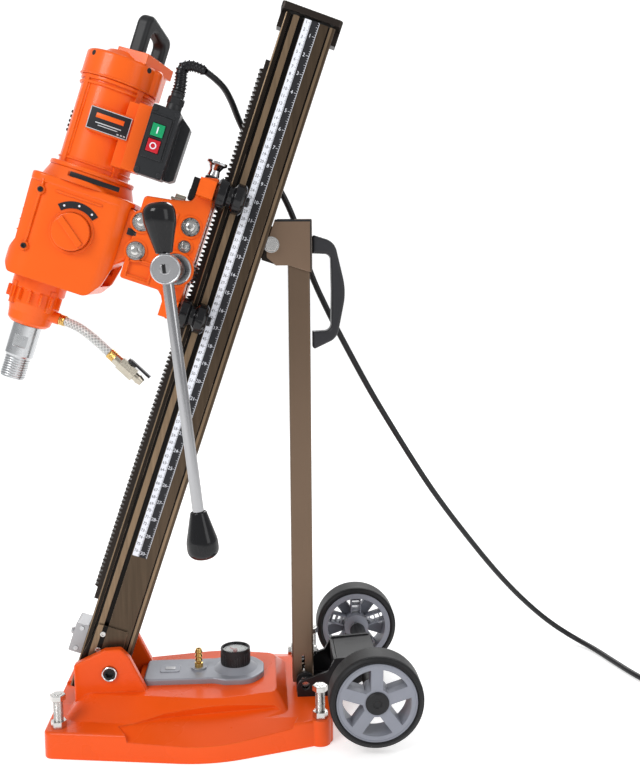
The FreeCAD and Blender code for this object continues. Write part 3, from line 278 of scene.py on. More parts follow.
ORANGE = (0.86, 0.118, 0.006)
BASE_ORANGE = (0.82, 0.088, 0.005)
STEEL = (0.56, 0.57, 0.58)
BRONZE = (0.150, 0.098, 0.062)
LOOKS = {
    "drill_orange": finish("drill_orange", ORANGE, 0.30, coat=0.16, shine=0.25, tint=0.05, grain=420,
                           bump=0.06, edge=0.0016, worn=(0.95, 0.26, 0.05), wear=0.35),
    "base_orange": finish("base_orange", BASE_ORANGE, 0.28, coat=0.12, shine=0.2, tint=0.06, patch=14,
                          grain=260, bump=0.07, edge=0.0022, worn=(0.95, 0.22, 0.05), wear=0.3),
    "plate_grey": finish("plate_grey", (0.30, 0.31, 0.345), 0.36, metal=0.25, grain=1500, bump=0.04,
                         worn=(0.6, 0.6, 0.62), wear=0.4),
    "black_metal": finish("black_metal", (0.009, 0.009, 0.010), 0.38, coat=0.05, grain=700, bump=0.07,
                          worn=(0.16, 0.16, 0.17), wear=0.5),
    "dark_bronze": finish("dark_bronze", (0.030, 0.023, 0.019), 0.36, metal=0.6, grain=1300, bump=0.05,
                          worn=(0.25, 0.2, 0.16), wear=0.5, edge=0.0004),
    "strut_bronze": finish("strut_bronze", (0.165, 0.112, 0.076), 0.31, metal=0.72, tint=0.14, patch=6,
                           grain=420, streak=(1, 1, 0.03), bump=0.04, worn=(0.5, 0.4, 0.32), wear=0.5),
    "zinc": finish("zinc", (0.62, 0.61, 0.59), 0.24, metal=1.0, tint=0.07, patch=60, grain=1500, bump=0.05,
                   edge=0.0006, uneven=0.1),
    "steel": finish("steel", STEEL, 0.28, metal=1.0, tint=0.08, patch=60, grain=1500, bump=0.06, edge=0.0006,
                    uneven=0.1),
    "chrome": finish("chrome", (0.62, 0.62, 0.63), 0.14, metal=1.0, tint=0.04, grain=500, bump=0.01,
                     edge=0.0007, uneven=0.04),
    "brass": finish("brass", (0.66, 0.42, 0.13), 0.25, metal=1.0, tint=0.15, patch=90, grain=1400,
                    edge=0.0003, uneven=0.08),
    "nickel": finish("nickel", (0.50, 0.46, 0.38), 0.26, metal=1.0, tint=0.2, patch=110, grain=1200,
                     edge=0.0005, uneven=0.1),
    "rubber": finish("rubber", (0.014, 0.014, 0.014), 0.62, grain=1600, bump=0.12, edge=0.0004),
    "tyre": finish("tyre", (0.009, 0.009, 0.010), 0.50, tint=0.2, patch=50, grain=1400, bump=0.14,
                   edge=0.001),
    "black_plastic": finish("black_plastic", (0.015, 0.0155, 0.017), 0.42, grain=2200, bump=0.12,
                            edge=0.0007),
    "gloss_black": finish("gloss_black", (0.006, 0.006, 0.007), 0.16, coat=0.15, grain=700, bump=0.01,
                          edge=0.001),
    "handle_grey": finish("handle_grey", (0.022, 0.022, 0.025), 0.40, grain=1800, bump=0.12, edge=0.002,
                          tint=0.12),
    "box_grey": finish("box_grey", (0.018, 0.019, 0.021), 0.36, grain=2000, bump=0.1, edge=0.0009,
                       worn=(0.10, 0.10, 0.11), wear=0.5),
    "green_button": finish("green_button", (0.006, 0.30, 0.115), 0.28, coat=0.2, grain=900, bump=0.02),
    "red_button": finish("red_button", (0.52, 0.010, 0.022), 0.28, coat=0.2, grain=900, bump=0.02),
    "white_print": finish("white_print", (0.78, 0.80, 0.86), 0.42, grain=900, bump=0.01, edge=0.0001,
                          tint=0.03),
    "black_print": finish("black_print", (0.014, 0.014, 0.017), 0.45, grain=900, bump=0.01, edge=0.0001),
    "dial_white": finish("dial_white", (0.80, 0.80, 0.78), 0.5, grain=900, bump=0.0, edge=0.0001, tint=0.02),
    "needle_red": finish("needle_red", (0.5, 0.02, 0.012), 0.4, grain=900, bump=0.0, edge=0.0001),
    "stop_grey": finish("stop_grey", (0.40, 0.40, 0.41), 0.34, metal=0.7, grain=800, bump=0.06,
                        worn=(0.7, 0.7, 0.7), wear=0.5),
    "motor_iron": finish("motor_iron", (0.20, 0.12, 0.07), 0.5, metal=0.5, patch=200, tint=0.4, grain=700),
    "cord_black": finish("cord_black", (0.010, 0.010, 0.011), 0.36, grain=2600, bump=0.06, edge=0.0001),
    "print_on_black": finish("print_on_black", (0.55, 0.56, 0.58), 0.4, grain=900, bump=0.0, edge=0.0001),
}
# Bands along the mast's side, front to rear, in metres behind its pivot line.
DEEP, BROWN = (0.018, 0.013, 0.009), (0.080, 0.055, 0.035)
TAN, GROOVE = (0.225, 0.155, 0.095), (0.006, 0.005, 0.004)
MAST_BANDS = [(-0.0600, DEEP), (-0.0474, TAN), (-0.0456, DEEP), (-0.0405, GROOVE), (-0.0370, TAN),
              (-0.0288, GROOVE), (-0.0222, BROWN), (0.0000, BROWN), (0.0112, GROOVE), (0.0136, TAN),
              (0.0170, BROWN), (0.0400, BROWN)]
LOOKS["mast"] = finish("mast_bronze", BRONZE, 0.30, metal=0.66, tint=0.13, patch=8, grain=520,
                       streak=(0.5, 1, 0.02), bump=0.05, edge=0.0006, worn=(0.42, 0.31, 0.22), wear=0.6,
                       bands=MAST_BANDS)
# The feed bar's grips, as distances along the bar from the feed shaft.
BAR = Vector(JOINTS["feed_bar_slide"]["axis"]).normalized()
FEED_SHAFT = Vector(JOINTS["feed_shaft_turn"]["pos_m"])
FEED_AT = Vector((FEED_SHAFT.x, 0, FEED_SHAFT.z))
MIDDLE, GRIP, CAP_BLACK = FEED_AT.dot(BAR), (0.008, 0.008, 0.009), (0.014, 0.014, 0.015)
LOOKS["feed_bar"] = finish("feed_bar", (0.40, 0.40, 0.41), 0.17, metal=1.0, tint=0.04, bump=0.01, edge=0.0008,
                           zones=[
    (BAR, MIDDLE + 0.0186, MIDDLE + 0.2, GRIP, 0.14, 0.0),
    (BAR, MIDDLE - 0.5, MIDDLE - 0.2975, GRIP, 0.14, 0.0)])
LOOKS["strut_head"] = finish("strut_head", (0.235, 0.158, 0.108), 0.30, metal=0.7, tint=0.12, patch=9,
                             bump=0.04, worn=(0.5, 0.4, 0.32), wear=0.5, zones=[
                                 (Z, 0.7030, 0.8, CAP_BLACK, 0.42, 0.0),
                                 (X, 0.1708, 0.2, CAP_BLACK, 0.42, 0.0)])
for look, side in (("rim_near", -1), ("rim_far", 1)):
    hub_face = Vector((0, side, 0))
    LOOKS[look] = finish(look, (0.245, 0.255, 0.295), 0.44, tint=0.07, patch=40, grain=1900, bump=0.10,
                         edge=0.0012, zones=[(hub_face, 0.1527, 0.2, (0.012, 0.012, 0.013), 0.45, 0.0)])
LOOKS["feed_shaft"] = finish("feed_shaft", (0.60, 0.60, 0.61), 0.20, metal=1.0, tint=0.05, grain=600,
                             edge=0.0007, zones=[(Y, -0.158, 0.3, (0.085, 0.085, 0.09), 0.34, 0.8)])
LOOKS["rim_plain"] = finish("rim_plain", (0.235, 0.245, 0.285), 0.44, tint=0.07, patch=40, grain=1900,
                            bump=0.10)
LOOKS["hose_clear"] = finish("hose_clear", (0.50, 0.51, 0.50), 0.22, coat=0.4, tint=0.10, patch=90,
                             grain=1200, bump=0.03, edge=0.0001, clear=0.35)
LOOKS["braid"] = finish("braid", (0.80, 0.80, 0.78), 0.5, tint=0.05, grain=1600, bump=0.02, edge=0.0001)
LOOKS["glass"] = finish("glass", (0.96, 0.98, 0.98), 0.03, tint=0.0, grain=300, bump=0.0, edge=0.0001,
                        uneven=0.01, clear=1.0)
LOOKS["plug"] = finish("plug", (0.014, 0.014, 0.014), 0.55, grain=1500, bump=0.1, zones=[
    (X, 0.7972, 0.9, (0.60, 0.60, 0.60), 0.25, 1.0)])
NODE_LOOKS = {
    "base_casting": "base_orange", "base_seal": "rubber", "vacuum_plate": "plate_grey", "hose_barb": "brass",
    "gauge_body": "black_plastic", "gauge_needle": "needle_red", "mast_pivot_bolt": "black_metal",
    "leveller_nuts": "zinc", "wheel_bracket": "black_metal", "wheel_axle": "steel", "strut_pin": "zinc",
    "wheel_rim_near": "rim_near", "wheel_rim_far": "rim_far", "tyre_near": "tyre", "tyre_far": "tyre",
    "mast_profile": "mast", "feed_rack": "dark_bronze", "depth_scale": "black_print",
    "mast_cap": "dark_bronze", "depth_stop": "stop_grey", "strut_slider": "dark_bronze", "strut_bolt": "zinc",
    "strut_tube": "strut_bronze", "strut_head": "strut_head", "strut_handle": "handle_grey",
    "carriage_casting": "drill_orange", "carriage_bolts": "zinc", "feed_shaft": "feed_shaft",
    "feed_bar": "feed_bar", "lock_knob": "chrome", "gearbox_housing": "drill_orange",
    "motor_mount": "drill_orange", "spindle_nose": "drill_orange", "motor_housing": "drill_orange",
    "motor_cap": "drill_orange", "carry_handle": "black_plastic", "motor_stator": "motor_iron",
    "armature": "motor_iron", "spindle": "steel", "bearings": "steel", "gear_selector": "drill_orange",
    "switch_box": "box_grey", "start_button": "green_button", "stop_button": "red_button",
    "cord_plug": "plug", "water_valve": "nickel", "valve_lever": "black_metal",
    **{f"levelling_screw_{k}": "zinc" for k in (1, 2, 3, 4)},
    **{f"guide_roller_{k}": "gloss_black" for k in (1, 2, 3, 4)},
}
for node_name, look in NODE_LOOKS.items():
    shape = NODES[node_name].data
    shape.materials.clear()
    shape.materials.append(LOOKS[look])
    shape.polygons.foreach_set("material_index", [0] * len(shape.polygons))


# ---------------------------------------------------------------- pieces

NEAR, AHEAD = -Y, -X  # towards the side of the feed lever, and to the front of the mast


class Piece:
    """One piece, put together from solids whose sizes and places are in millimetres in `place`."""

    def __init__(self, name, body, look, slot, place=MAST):
        self.name, self.body, self.look, self.slot, self.place = name, body, look, slot, place
        self.mesh = bmesh.new()

    def take(self, part, turn=FLAT):
        bmesh.ops.recalc_face_normals(part, faces=part.faces)
        held = bpy.data.meshes.new("held")
        part.to_mesh(held)
        part.free()
        held.transform(turn)
        self.mesh.from_mesh(held)
        bpy.data.meshes.remove(held)
        return self

    def box(self, length, width, height, at, bevel=0.4, turn=FLAT):
        """A box centred on `at`, with rounded edges."""
        part = bmesh.new()
        bmesh.ops.create_cube(part, size=1.0)
        bmesh.ops.scale(part, vec=(length, width, height), verts=part.verts)
        if bevel:
            bmesh.ops.bevel(part, geom=part.edges[:], offset=bevel, segments=2, profile=0.6, affect="EDGES")
        return self.take(part, Matrix.Translation(at) @ turn)

    def lathe(self, profile, at, along=Z, steps=40):
        """A profile of (radius, height) points, turned about `along` from `at`."""
        part = bmesh.new()
        rings = []
        for radius, height in profile:
            if radius < 1e-6:
                rings.append([part.verts.new((0, 0, height))])
            else:
                rings.append([part.verts.new((radius * math.cos(a), radius * math.sin(a), height))
                              for a in (2 * math.pi * k / steps for k in range(steps))])
        closed = profile[0][0] > 1e-6 and profile[-1][0] > 1e-6
        pairs = list(zip(rings, rings[1:])) + ([(rings[-1], rings[0])] if closed else [])
        for low, high in pairs:
            for k in range(steps):
                after = (k + 1) % steps
                if len(low) == 1 and len(high) > 1:
                    part.faces.new((low[0], high[after], high[k]))
                elif len(high) == 1 and len(low) > 1:
                    part.faces.new((low[k], low[after], high[0]))
                elif len(low) > 1:
                    part.faces.new((low[k], low[after], high[after], high[k]))
        return self.take(part, Matrix.Translation(at) @ along.to_track_quat("Z", "Y").to_matrix().to_4x4())

    def disc(self, radius, height, at, along=Z, bevel=0.4, steps=40):
        b = min(bevel, height / 3, radius / 3)
        return self.lathe([(0, 0), (radius - b, 0), (radius, b), (radius, height - b), (radius - b, height),
                           (0, height)], at, along, steps)

    def ring(self, radius, thick, at, along=Z, steps=40, sides=10):
        """A torus."""
        return self.lathe([(radius + thick * math.cos(a), thick * math.sin(a)) for a in
                           (2 * math.pi * k / sides for k in range(sides))], at, along, steps)

    def outline(self, points, low, high, turn=FLAT, bevel=0.3):
        """A closed outline in X and Z, from one Y to another."""
        part = bmesh.new()
        face = part.faces.new([part.verts.new((x, low, z)) for x, z in points])
        grown = bmesh.ops.extrude_face_region(part, geom=[face])
        bmesh.ops.translate(part, vec=(0, high - low, 0),
                            verts=[v for v in grown["geom"] if isinstance(v, bmesh.types.BMVert)])
        if bevel:
            bmesh.ops.bevel(part, geom=part.edges[:], offset=bevel, segments=2, profile=0.6, affect="EDGES")
        return self.take(part, turn)

    def sweep(self, line, radii, sides=14):
        """A round tube along points, with one radius or a radius for each point."""
        count = len(line)
        radii = radii if isinstance(radii, list) else [radii] * count
        part = bmesh.new()
        ahead = (line[1] - line[0]).normalized()
        across = ahead.orthogonal().normalized()
        rings = []
        for k, point in enumerate(line):
            new = (line[min(k + 1, count - 1)] - line[max(k - 1, 0)]).normalized()
            across = (across - new * across.dot(new)).normalized()
            other = new.cross(across)
            rings.append([part.verts.new(point + (across * math.cos(a) + other * math.sin(a)) * radii[k])
                          for a in (2 * math.pi * s / sides for s in range(sides))])
        for low, high in zip(rings, rings[1:]):
            for k in range(sides):
                after = (k + 1) % sides
                part.faces.new((low[k], low[after], high[after], high[k]))
        part.faces.new(rings[0][::-1])
        part.faces.new(rings[-1])
        return self.take(part)

    def write(self, text, height, at, deep=0.1, across=0.5):
        """Figures on the side that faces -Y, centred on `at`."""
        curve = bpy.data.curves.new("figures", "FONT")
        curve.body, curve.size, curve.extrude, curve.resolution_u = text, height * 1.38, deep, 2
        curve.align_x, curve.align_y = "CENTER", "CENTER"
        shown = bpy.data.objects.new("figures", curve)
        SCENE.collection.objects.link(shown)
        bpy.context.view_layer.update()
        flat = bpy.data.meshes.new_from_object(shown.evaluated_get(bpy.context.evaluated_depsgraph_get()))
        flat.transform(Matrix.Translation(at) @ Matrix(((across * 2, 0, 0, 0), (0, 0, -1, 0), (0, 1, 0, 0),
                                                        (0, 0, 0, 1))))
        self.mesh.from_mesh(flat)
        bpy.data.objects.remove(shown)
        bpy.data.curves.remove(curve)
        bpy.data.meshes.remove(flat)
        return self

    def done(self, *replaced, angle=34, ride=True):
        mesh = bpy.data.meshes.new(self.name)
        bmesh.ops.remove_doubles(self.mesh, verts=self.mesh.verts, dist=1e-4)
        self.mesh.to_mesh(mesh)
        self.mesh.free()
        mesh.transform(self.place @ Matrix.Scale(MM, 4) if self.place is not None else Matrix.Identity(4))
        mesh.shade_smooth()
        mesh.set_sharp_from_angle(angle=math.radians(angle))
        mesh.materials.append(LOOKS[self.look])
        obj = bpy.data.objects.new(self.name, mesh)
        SCENE.collection.objects.link(obj)
        if ride:
            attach(obj, self.body)
        if replaced:
            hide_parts(*replaced)
        return obj


def smooth_line(points):
    """The points of a NURBS line whose control points are given in millimetres, in metres."""
    curve = bpy.data.curves.new("line", "CURVE")
    curve.dimensions, curve.resolution_u = "3D", 8
    spline = curve.splines.new("NURBS")
    spline.points.add(len(points) - 1)
    for control, point in zip(spline.points, points):
        control.co = (*(Vector(point) * MM), 1)
    spline.order_u = 3
    spline.use_endpoint_u = True
    shown = bpy.data.objects.new("line", curve)
    SCENE.collection.objects.link(shown)
    bpy.context.view_layer.update()
    mesh = bpy.data.meshes.new_from_object(shown.evaluated_get(bpy.context.evaluated_depsgraph_get()))
    line = [v.co.copy() for v in mesh.vertices]
    bpy.data.objects.remove(shown)
    bpy.data.curves.remove(curve)
    bpy.data.meshes.remove(mesh)
    return line


def from_mast(point):
    """A point of the mast's frame as a point of the world, both in millimetres."""
    return MAST @ (Vector(point) * MM) / MM


def distances(line):
    """How far each point of a line is from its start."""
    walked = [0.0]
    for a, b in zip(line, line[1:]):
        walked.append(walked[-1] + (b - a).length)
    return walked


def flat_ring(outer, inner, low, high):
    """The profile of a washer."""
    return [(inner, low), (outer, low), (outer, high), (inner, high)]


def socket_screw(piece, at, along, radius=4.2):
    """A cap screw's head with its socket."""
    return piece.lathe([(0, -1.5), (radius, -1.5), (radius, 1.6), (radius - 0.5, 2.1), (radius * 0.52, 2.1),
                        (radius * 0.5, 0.4), (0, 0.4)], at, along, 24)


def hex_bolt(piece, at, along, across=10.0, high=4.0):
    """A washer and a hexagon with a chamfered top."""
    r = across / math.sqrt(3)
    piece.disc(across * 0.92, 1.2, at, along)
    piece.lathe([(0, 1.0), (r, 1.0), (r, high), (r * 0.86, high + 0.8), (0, high + 0.8)], at, along, 6)
    return piece


# ---------------------------------------------------------------- cords

CORD = 0.0088
UPPER_ROUTE = [(36, -72, 890), (54, -46, 882), (66, -10, 867), (77, 32, 841), (95, 55, 810), (118, 61, 776),
               (141, 64, 738), (160, 66, 690), (174, 67, 634), (190, 68.4, 600)]
LOWER_ROUTE = [(190, 68.4, 600), (206, 69.8, 566), (234, 77, 513), (265, 86, 456), (297, 98, 403),
               (330, 113, 350), (363, 130, 299), (398, 148, 250), (434, 167, 203), (470, 184, 157),
               (508, 200, 112), (548, 213, 70), (590, 217, 33), (627, 206, 10), (650, 168, 4.8),
               (664, 112, 4.8), (678, 60, 4.8)]
TAIL_ROUTE = [(698, -6, 13.4), (702, -34, 12.8), (715, -58, 8.0), (733, -72, 8.5), (744, -76, 12.5),
              (753, -76, 14.2)]
COIL_X, COIL_Y, TURN_POINTS, FIRST_TURN = 752.0, 10.0, 14, math.radians(168)
# radius of each turn of the put-away lead, and its height: three on the floor and two on top of them
TURNS = [(59.4, 4.6), (50.4, 4.6), (41.4, 4.6), (45.8, 13.2), (55.0, 13.2)]


def coil_points():
    points = []
    for turn, (radius, height) in enumerate(TURNS):
        next_radius, next_height = TURNS[min(turn + 1, len(TURNS) - 1)]
        for k in range(TURN_POINTS):
            share = k / TURN_POINTS
            angle = FIRST_TURN + 2 * math.pi * share
            outward = min(1.0, max(0.0, (share - 0.78) / 0.22))
            upward = min(1.0, max(0.0, (share - 0.55) / 0.22))
            r = radius + (next_radius - radius) * outward
            z = height + (next_height - height) * upward
            points.append((COIL_X + r * math.cos(angle), COIL_Y + r * math.sin(angle), z))
    return points


upper_line = smooth_line(UPPER_ROUTE)
upper = Piece("lead_upper", "mast", "cord_black", "cord_black", None)
upper = upper.sweep(upper_line, CORD / 2, 16).done("power_cord_upper", angle=60, ride=False)
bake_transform(upper)

lower_line = smooth_line(LOWER_ROUTE + coil_points() + TAIL_ROUTE)
lower = Piece("lead_lower", "base", "cord_black", "cord_black", None)
lower = lower.sweep(lower_line, CORD / 2, 16).done("power_cord_lower", "cord_coil", angle=60, ride=False)
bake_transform(lower)

# ---------------------------------------------------------------- motor

MOTOR_X, SPINDLE_X = -229.7, -253.7
BELL_R = 52.0
PLATE_X, PLATE_Z, PLATE_LONG = -217.6, 711.5, 54.2
PLATE_PRINT = -57.5

trim = Piece("motor_seams", "carriage", "drill_orange", "drill_orange")
for height, radius, thick in ((654.5, 48.0, 1.5), (756.0, 48.6, 2.2), (767.2, BELL_R, 1.3)):
    trim.ring(radius, thick, (MOTOR_X, 0, height), steps=64)
for turn in (-131, 108, 131):
    a = math.radians(turn)
    trim.box(3.4, 7.0, 96.0, (MOTOR_X + 47.4 * math.cos(a), 47.4 * math.sin(a), 706), 1.4,
             Matrix.Rotation(a, 4, "Z"))
trim.box(57.0, 16.0, 34.0, (-218.2, -48.3, 711.5), 4.5)
trim.done()

# Black discs and bars of painted shade: the dark inside the cap's screw recesses and the motor's openings.
dark = Piece("motor_opening_shade", "carriage", "black_plastic", "black_plastic")
for across, height in ((-36.3, 792.5), (37.7, 794.0)):
    for side in (-1, 1):
        out = Vector((across, side * math.sqrt(BELL_R ** 2 - across ** 2), 0)).normalized()
        dark.disc(3.6, 7.0, Vector((MOTOR_X, 0, height)) + out * 45.4, out, 0.5, 24)
for k in range(5):
    dark.box(1.6, 20.0, 3.6, (MOTOR_X - 47.6, 0, 690 + k * 6.2), 0.5)
dark.done()

plate = Piece("nameplate", "carriage", "black_print", "black_plastic")
plate.box(PLATE_LONG, 1.2, 29.0, (PLATE_X, -56.9, PLATE_Z), 0.5)
plate.done()
border = Piece("nameplate_print", "carriage", "print_on_black", "scale_print")
for side in (1, -1):
    border.box(PLATE_LONG, 0.5, 0.9, (PLATE_X, PLATE_PRINT, PLATE_Z + side * 13.9), 0.15)
for side in (-1, 1):
    border.box(0.9, 0.5, 28.0, (PLATE_X + side * 26.7, PLATE_PRINT, PLATE_Z), 0.15)
for length, high, z in ((34.0, 1.3, 707.2), (26.0, 1.0, 704.2)):
    border.box(length, 0.5, high, (PLATE_X, PLATE_PRINT, z), 0.1)
for x in (-203, -198.5, -194.5):
    border.box(2.6, 0.5, 1.6, (x, PLATE_PRINT, 700.6), 0.1)
border.done()
mark = Piece("nameplate_bar", "carriage", "drill_orange", "drill_orange")
mark.box(37.0, 0.6, 6.2, (PLATE_X, PLATE_PRINT, 716.4), 0.2)
mark.done()

# ---------------------------------------------------------------- gearbox

COVER_SCREWS = ((-276, 603), (-276, 527))
DIAL_X, DIAL_Z = -223, 563

ribs = Piece("gearbox_ribs", "carriage", "drill_orange", "drill_orange")
for z in (600, 586, 572, 558, 544):
    ribs.box(7.0, 56.0, 2.4, (-294.9, 0, z), 1.0)
for side in (-1, 1):
    ribs.box(3.0, 4.0, 92.0, (-276.0, side * 55.4, 572), 1.3)
    ribs.box(62.0, 3.2, 3.2, (-226.0, side * 56.3, 607.5), 1.2)
    for x, z in COVER_SCREWS:
        ribs.lathe([(0, 0), (6.4, 0), (5.6, 3.0), (0, 3.0)], (x, side * 55.2, z), side * Y, 24)
ribs.lathe(flat_ring(29.0, 25.4, -1.0, 2.0), (DIAL_X, -55.4, DIAL_Z), NEAR, 56)
for k in range(7):
    a = math.radians(200 + 23 * k)
    ribs.box(13.0, 3.0, 16.0, (SPINDLE_X + 33.0 * math.cos(a), 33.0 * math.sin(a), 463), 1.2,
             Matrix.Rotation(a, 4, "Z"))
# raised bars on the mount, where the real casting has its mark
for low in (556.0, 584.0):
    for k, length in enumerate((20.0, 13.0, 17.0)):
        for side in (-1, 1):
            ribs.box(length, 1.8, 2.8, (-183.0 + length / 2, side * 42.4, low + 7.0 * k), 0.6)
ribs.done()

arc = Piece("selector_label", "carriage", "black_print", "black_plastic")
steps = [math.radians(47 + 86 * k / 28) for k in range(29)]
band = [(DIAL_X + 39.5 * math.cos(a), DIAL_Z + 39.5 * math.sin(a)) for a in steps]
band += [(DIAL_X + 30.5 * math.cos(a), DIAL_Z + 30.5 * math.sin(a)) for a in reversed(steps)]
arc.outline(band, -56.7, -55.9, bevel=0)
arc.done()
dots = Piece("selector_dots", "carriage", "white_print", "scale_print")
for turn in (58, 90, 122):
    a = math.radians(turn)
    dots.disc(1.5, 0.5, (DIAL_X + 35.0 * math.cos(a), -56.5, DIAL_Z + 35.0 * math.sin(a)), NEAR, steps=16)
dots.done()
heads = Piece("gearbox_screws", "carriage", "black_metal", "black_metal")
for side in (-1, 1):
    for x, z in COVER_SCREWS:
        socket_screw(heads, (x, side * 58.2, z), side * Y, 3.6)
heads.box(9.0, 4.0, 9.0, (-152.4, -44.2, 587.5), 0.6)
for side in (-1, 1):
    heads.box(66.0, 1.4, 6.4, (-213.0, side * 59.3, 634.2), 0.6)
heads.done()
chuck = Piece("spindle_thread", "spindle", "steel", "steel")
for k in range(8):
    chuck.ring(15.9, 0.95, (SPINDLE_X, 0, 350.2 + 3.4 * k), steps=48, sides=8)
chuck.done()

# ---------------------------------------------------------------- carriage and feed

# each rib's length, height and middle, on the carriage's sides, and each bolt's place and washer radius
RIBS = ((3.0, 70.0, -100.0, 596), (32.0, 3.0, -127.0, 556), (32.0, 3.0, -127.0, 530),
        (3.0, 29.0, -143.0, 543), (3.0, 29.0, -111.0, 543), (24.0, 3.0, -131.0, 625))
BOLTS = ((-142, 604.5, 12.0), (-138.5, 566, 12.0), (-79.5, 618.5, 12.0), (-79.5, 591.5, 8.0))
WASHER_FACE = -45.0 - 2.2

cast = Piece("carriage_ribs", "carriage", "drill_orange", "drill_orange")
for side in (-1, 1):
    for length, high, x, z in RIBS:
        cast.box(length, 2.4, high, (x, side * 46.4, z), 1.0)
for x, z, washer in BOLTS:
    cast.lathe(flat_ring(washer + 3.4, washer + 0.6, 0, 2.4), (x, -45.2, z), NEAR, 40)
cast.done()
caps = Piece("carriage_bolt_caps", "carriage", "zinc", "zinc")
seams = Piece("carriage_bolt_seams", "carriage", "black_metal", "black_metal")
for x, z, washer in BOLTS:
    caps.lathe(flat_ring(washer, washer * 0.78, 0, 1.0), (x, WASHER_FACE, z), NEAR, 40)
    seams.lathe(flat_ring(washer * 0.78, washer * 0.70, 0, 0.5), (x, WASHER_FACE, z), NEAR, 40)
    caps.lathe([(0, 0), (washer * 0.5, 0), (washer * 0.5, 0.7), (washer * 0.42, 1.4), (washer * 0.2, 1.7),
                (0, 1.7)],
               (x, -47.0 - washer * 0.55, z), NEAR, 32)
caps.done()
seams.done()
vial = Piece("bubble_level", "carriage", "nickel", "nickel")
vial.box(24.0, 11.0, 4.0, (-106, -22, 648.2), 1.2)
vial.disc(4.6, 14.0, (-113, -22, 651.6), X, 0.8, 24)
vial.done()
clamp = Piece("lock_shoe", "carriage", "black_metal", "black_metal")
clamp.box(10.0, 18.0, 32.0, (-90.5, -30, 668), 1.5)
clamp.box(6.0, 12.0, 14.0, (-93.5, -30, 660), 1.2)
clamp.lathe([(6.2, 686.2), (9.8, 686.2), (9.8, 690.6), (8.6, 691.4), (6.2, 691.4)], (-73, -30, 0), steps=32)
clamp.done()
pins = Piece("roller_nuts", "carriage", "black_metal", "black_metal")
for z in (672.5, 507.5):
    for side in (-1, 1):
        hex_bolt(pins, (-22.2, side * 51.5, z), X, 12.0, 5.0)
pins.done()

HUB_PLACE = Matrix.Translation(FEED_AT) @ Matrix.Rotation(-math.radians(6), 4, "Y")
# A black box of painted shade in the slot of the hub's face.
slot_shade = Piece("hub_slot_shade", "feed_shaft", "black_metal", "black_metal", HUB_PLACE)
slot_shade.box(4.2, 1.4, 11.0, (-1.2, -194.9, 0.5), 0.5)
slot_shade.done()
rim_line = Piece("hub_rim", "feed_shaft", "steel", "steel", HUB_PLACE)
rim_line.ring(16.6, 0.7, (0, -193.0, 0), NEAR, 48, 8)
rim_line.done()
boss = Piece("feed_boss", "carriage", "steel", "steel")
pinion = MAST.inverted() @ FEED_SHAFT
boss.lathe([(13.8, 0), (21.0, 0), (21.0, 3.4), (19.6, 4.8), (15.6, 4.8), (13.8, 3.6)],
           (pinion.x / MM, -54.8, pinion.z / MM), NEAR, 56)
boss.done()

# ---------------------------------------------------------------- switch box, gland and strain relief

BUTTON_X, TRIM_FACE = -151, -90.6

box = Piece("switch_box_trim", "carriage", "box_grey", "black_plastic")
for z in (666.0, 745.0):
    for x in (-162.0, -134.0):
        box.lathe([(0, 0), (3.2, 0), (3.2, 1.2), (2.6, 1.6), (0, 1.6)], (x, -89.8, z), NEAR, 20)
box.box(31.0, 1.2, 1.6, (-150.5, TRIM_FACE, 739.0), 0.4)
for x in (-135.6, -165.0):
    box.box(1.6, 1.2, 52.0, (x, TRIM_FACE, 710.0), 0.4)
box.done()
sign = Piece("button_on", "start_button", "white_print", "scale_print")
sign.box(1.7, 0.5, 8.4, (BUTTON_X, -94.0, 719), 0.1)
sign.done()
sign = Piece("button_off", "stop_button", "white_print", "scale_print")
sign.lathe(flat_ring(4.3, 2.9, 0, 0.45), (BUTTON_X, -93.75, 699), NEAR, 32)
sign.done()

GLAND_X, GLAND_Y = -143.0, -72.0
gland = Piece("cable_gland_body", "carriage", "black_plastic", "black_plastic")
gland.lathe([(0, 750.2), (10.0, 750.2), (10.0, 758), (9.2, 759.4), (0, 759.4)], (GLAND_X, GLAND_Y, 0),
            steps=40)
gland.lathe([(0, 758.6), (10.9, 758.6), (10.9, 766.6), (9.6, 768), (0, 768)], (GLAND_X, GLAND_Y, 0), steps=6)
gland.disc(8.5, 10.0, (GLAND_X, GLAND_Y, 766.5), Z, 1.2)
gland.done("cable_gland")
# the ribbed sleeve that guides the lead out of the gland, thinner towards its end
SLEEVE_R, SLEEVE_TAPER, RIDGE, RIDGE_PITCH = 0.0077, 0.0020, 0.0017, 0.0042
start = from_mast((GLAND_X, GLAND_Y, 772.0))
sleeve_line = smooth_line([start, start + UP * 13, (6, -72.5, 893.5), (17, -73.5, 896.5), (27, -73.4, 894.2),
                           (36, -72, 890)])
dense = [a.lerp(b, k / 6) for a, b in zip(sleeve_line, sleeve_line[1:]) for k in range(6)] + [sleeve_line[-1]]
radii, reached = [], distances(dense)
for walked in reached:
    share = walked / reached[-1]
    ridge = max(0.0, math.sin(2 * math.pi * walked / RIDGE_PITCH)) ** 0.6
    radii.append((SLEEVE_R - SLEEVE_TAPER * share) + RIDGE * ridge * (1 - 0.3 * share))
sleeve = Piece("strain_relief", "carriage", "gloss_black", "rubber", None)
sleeve.sweep(dense, radii, 20).done(angle=55)
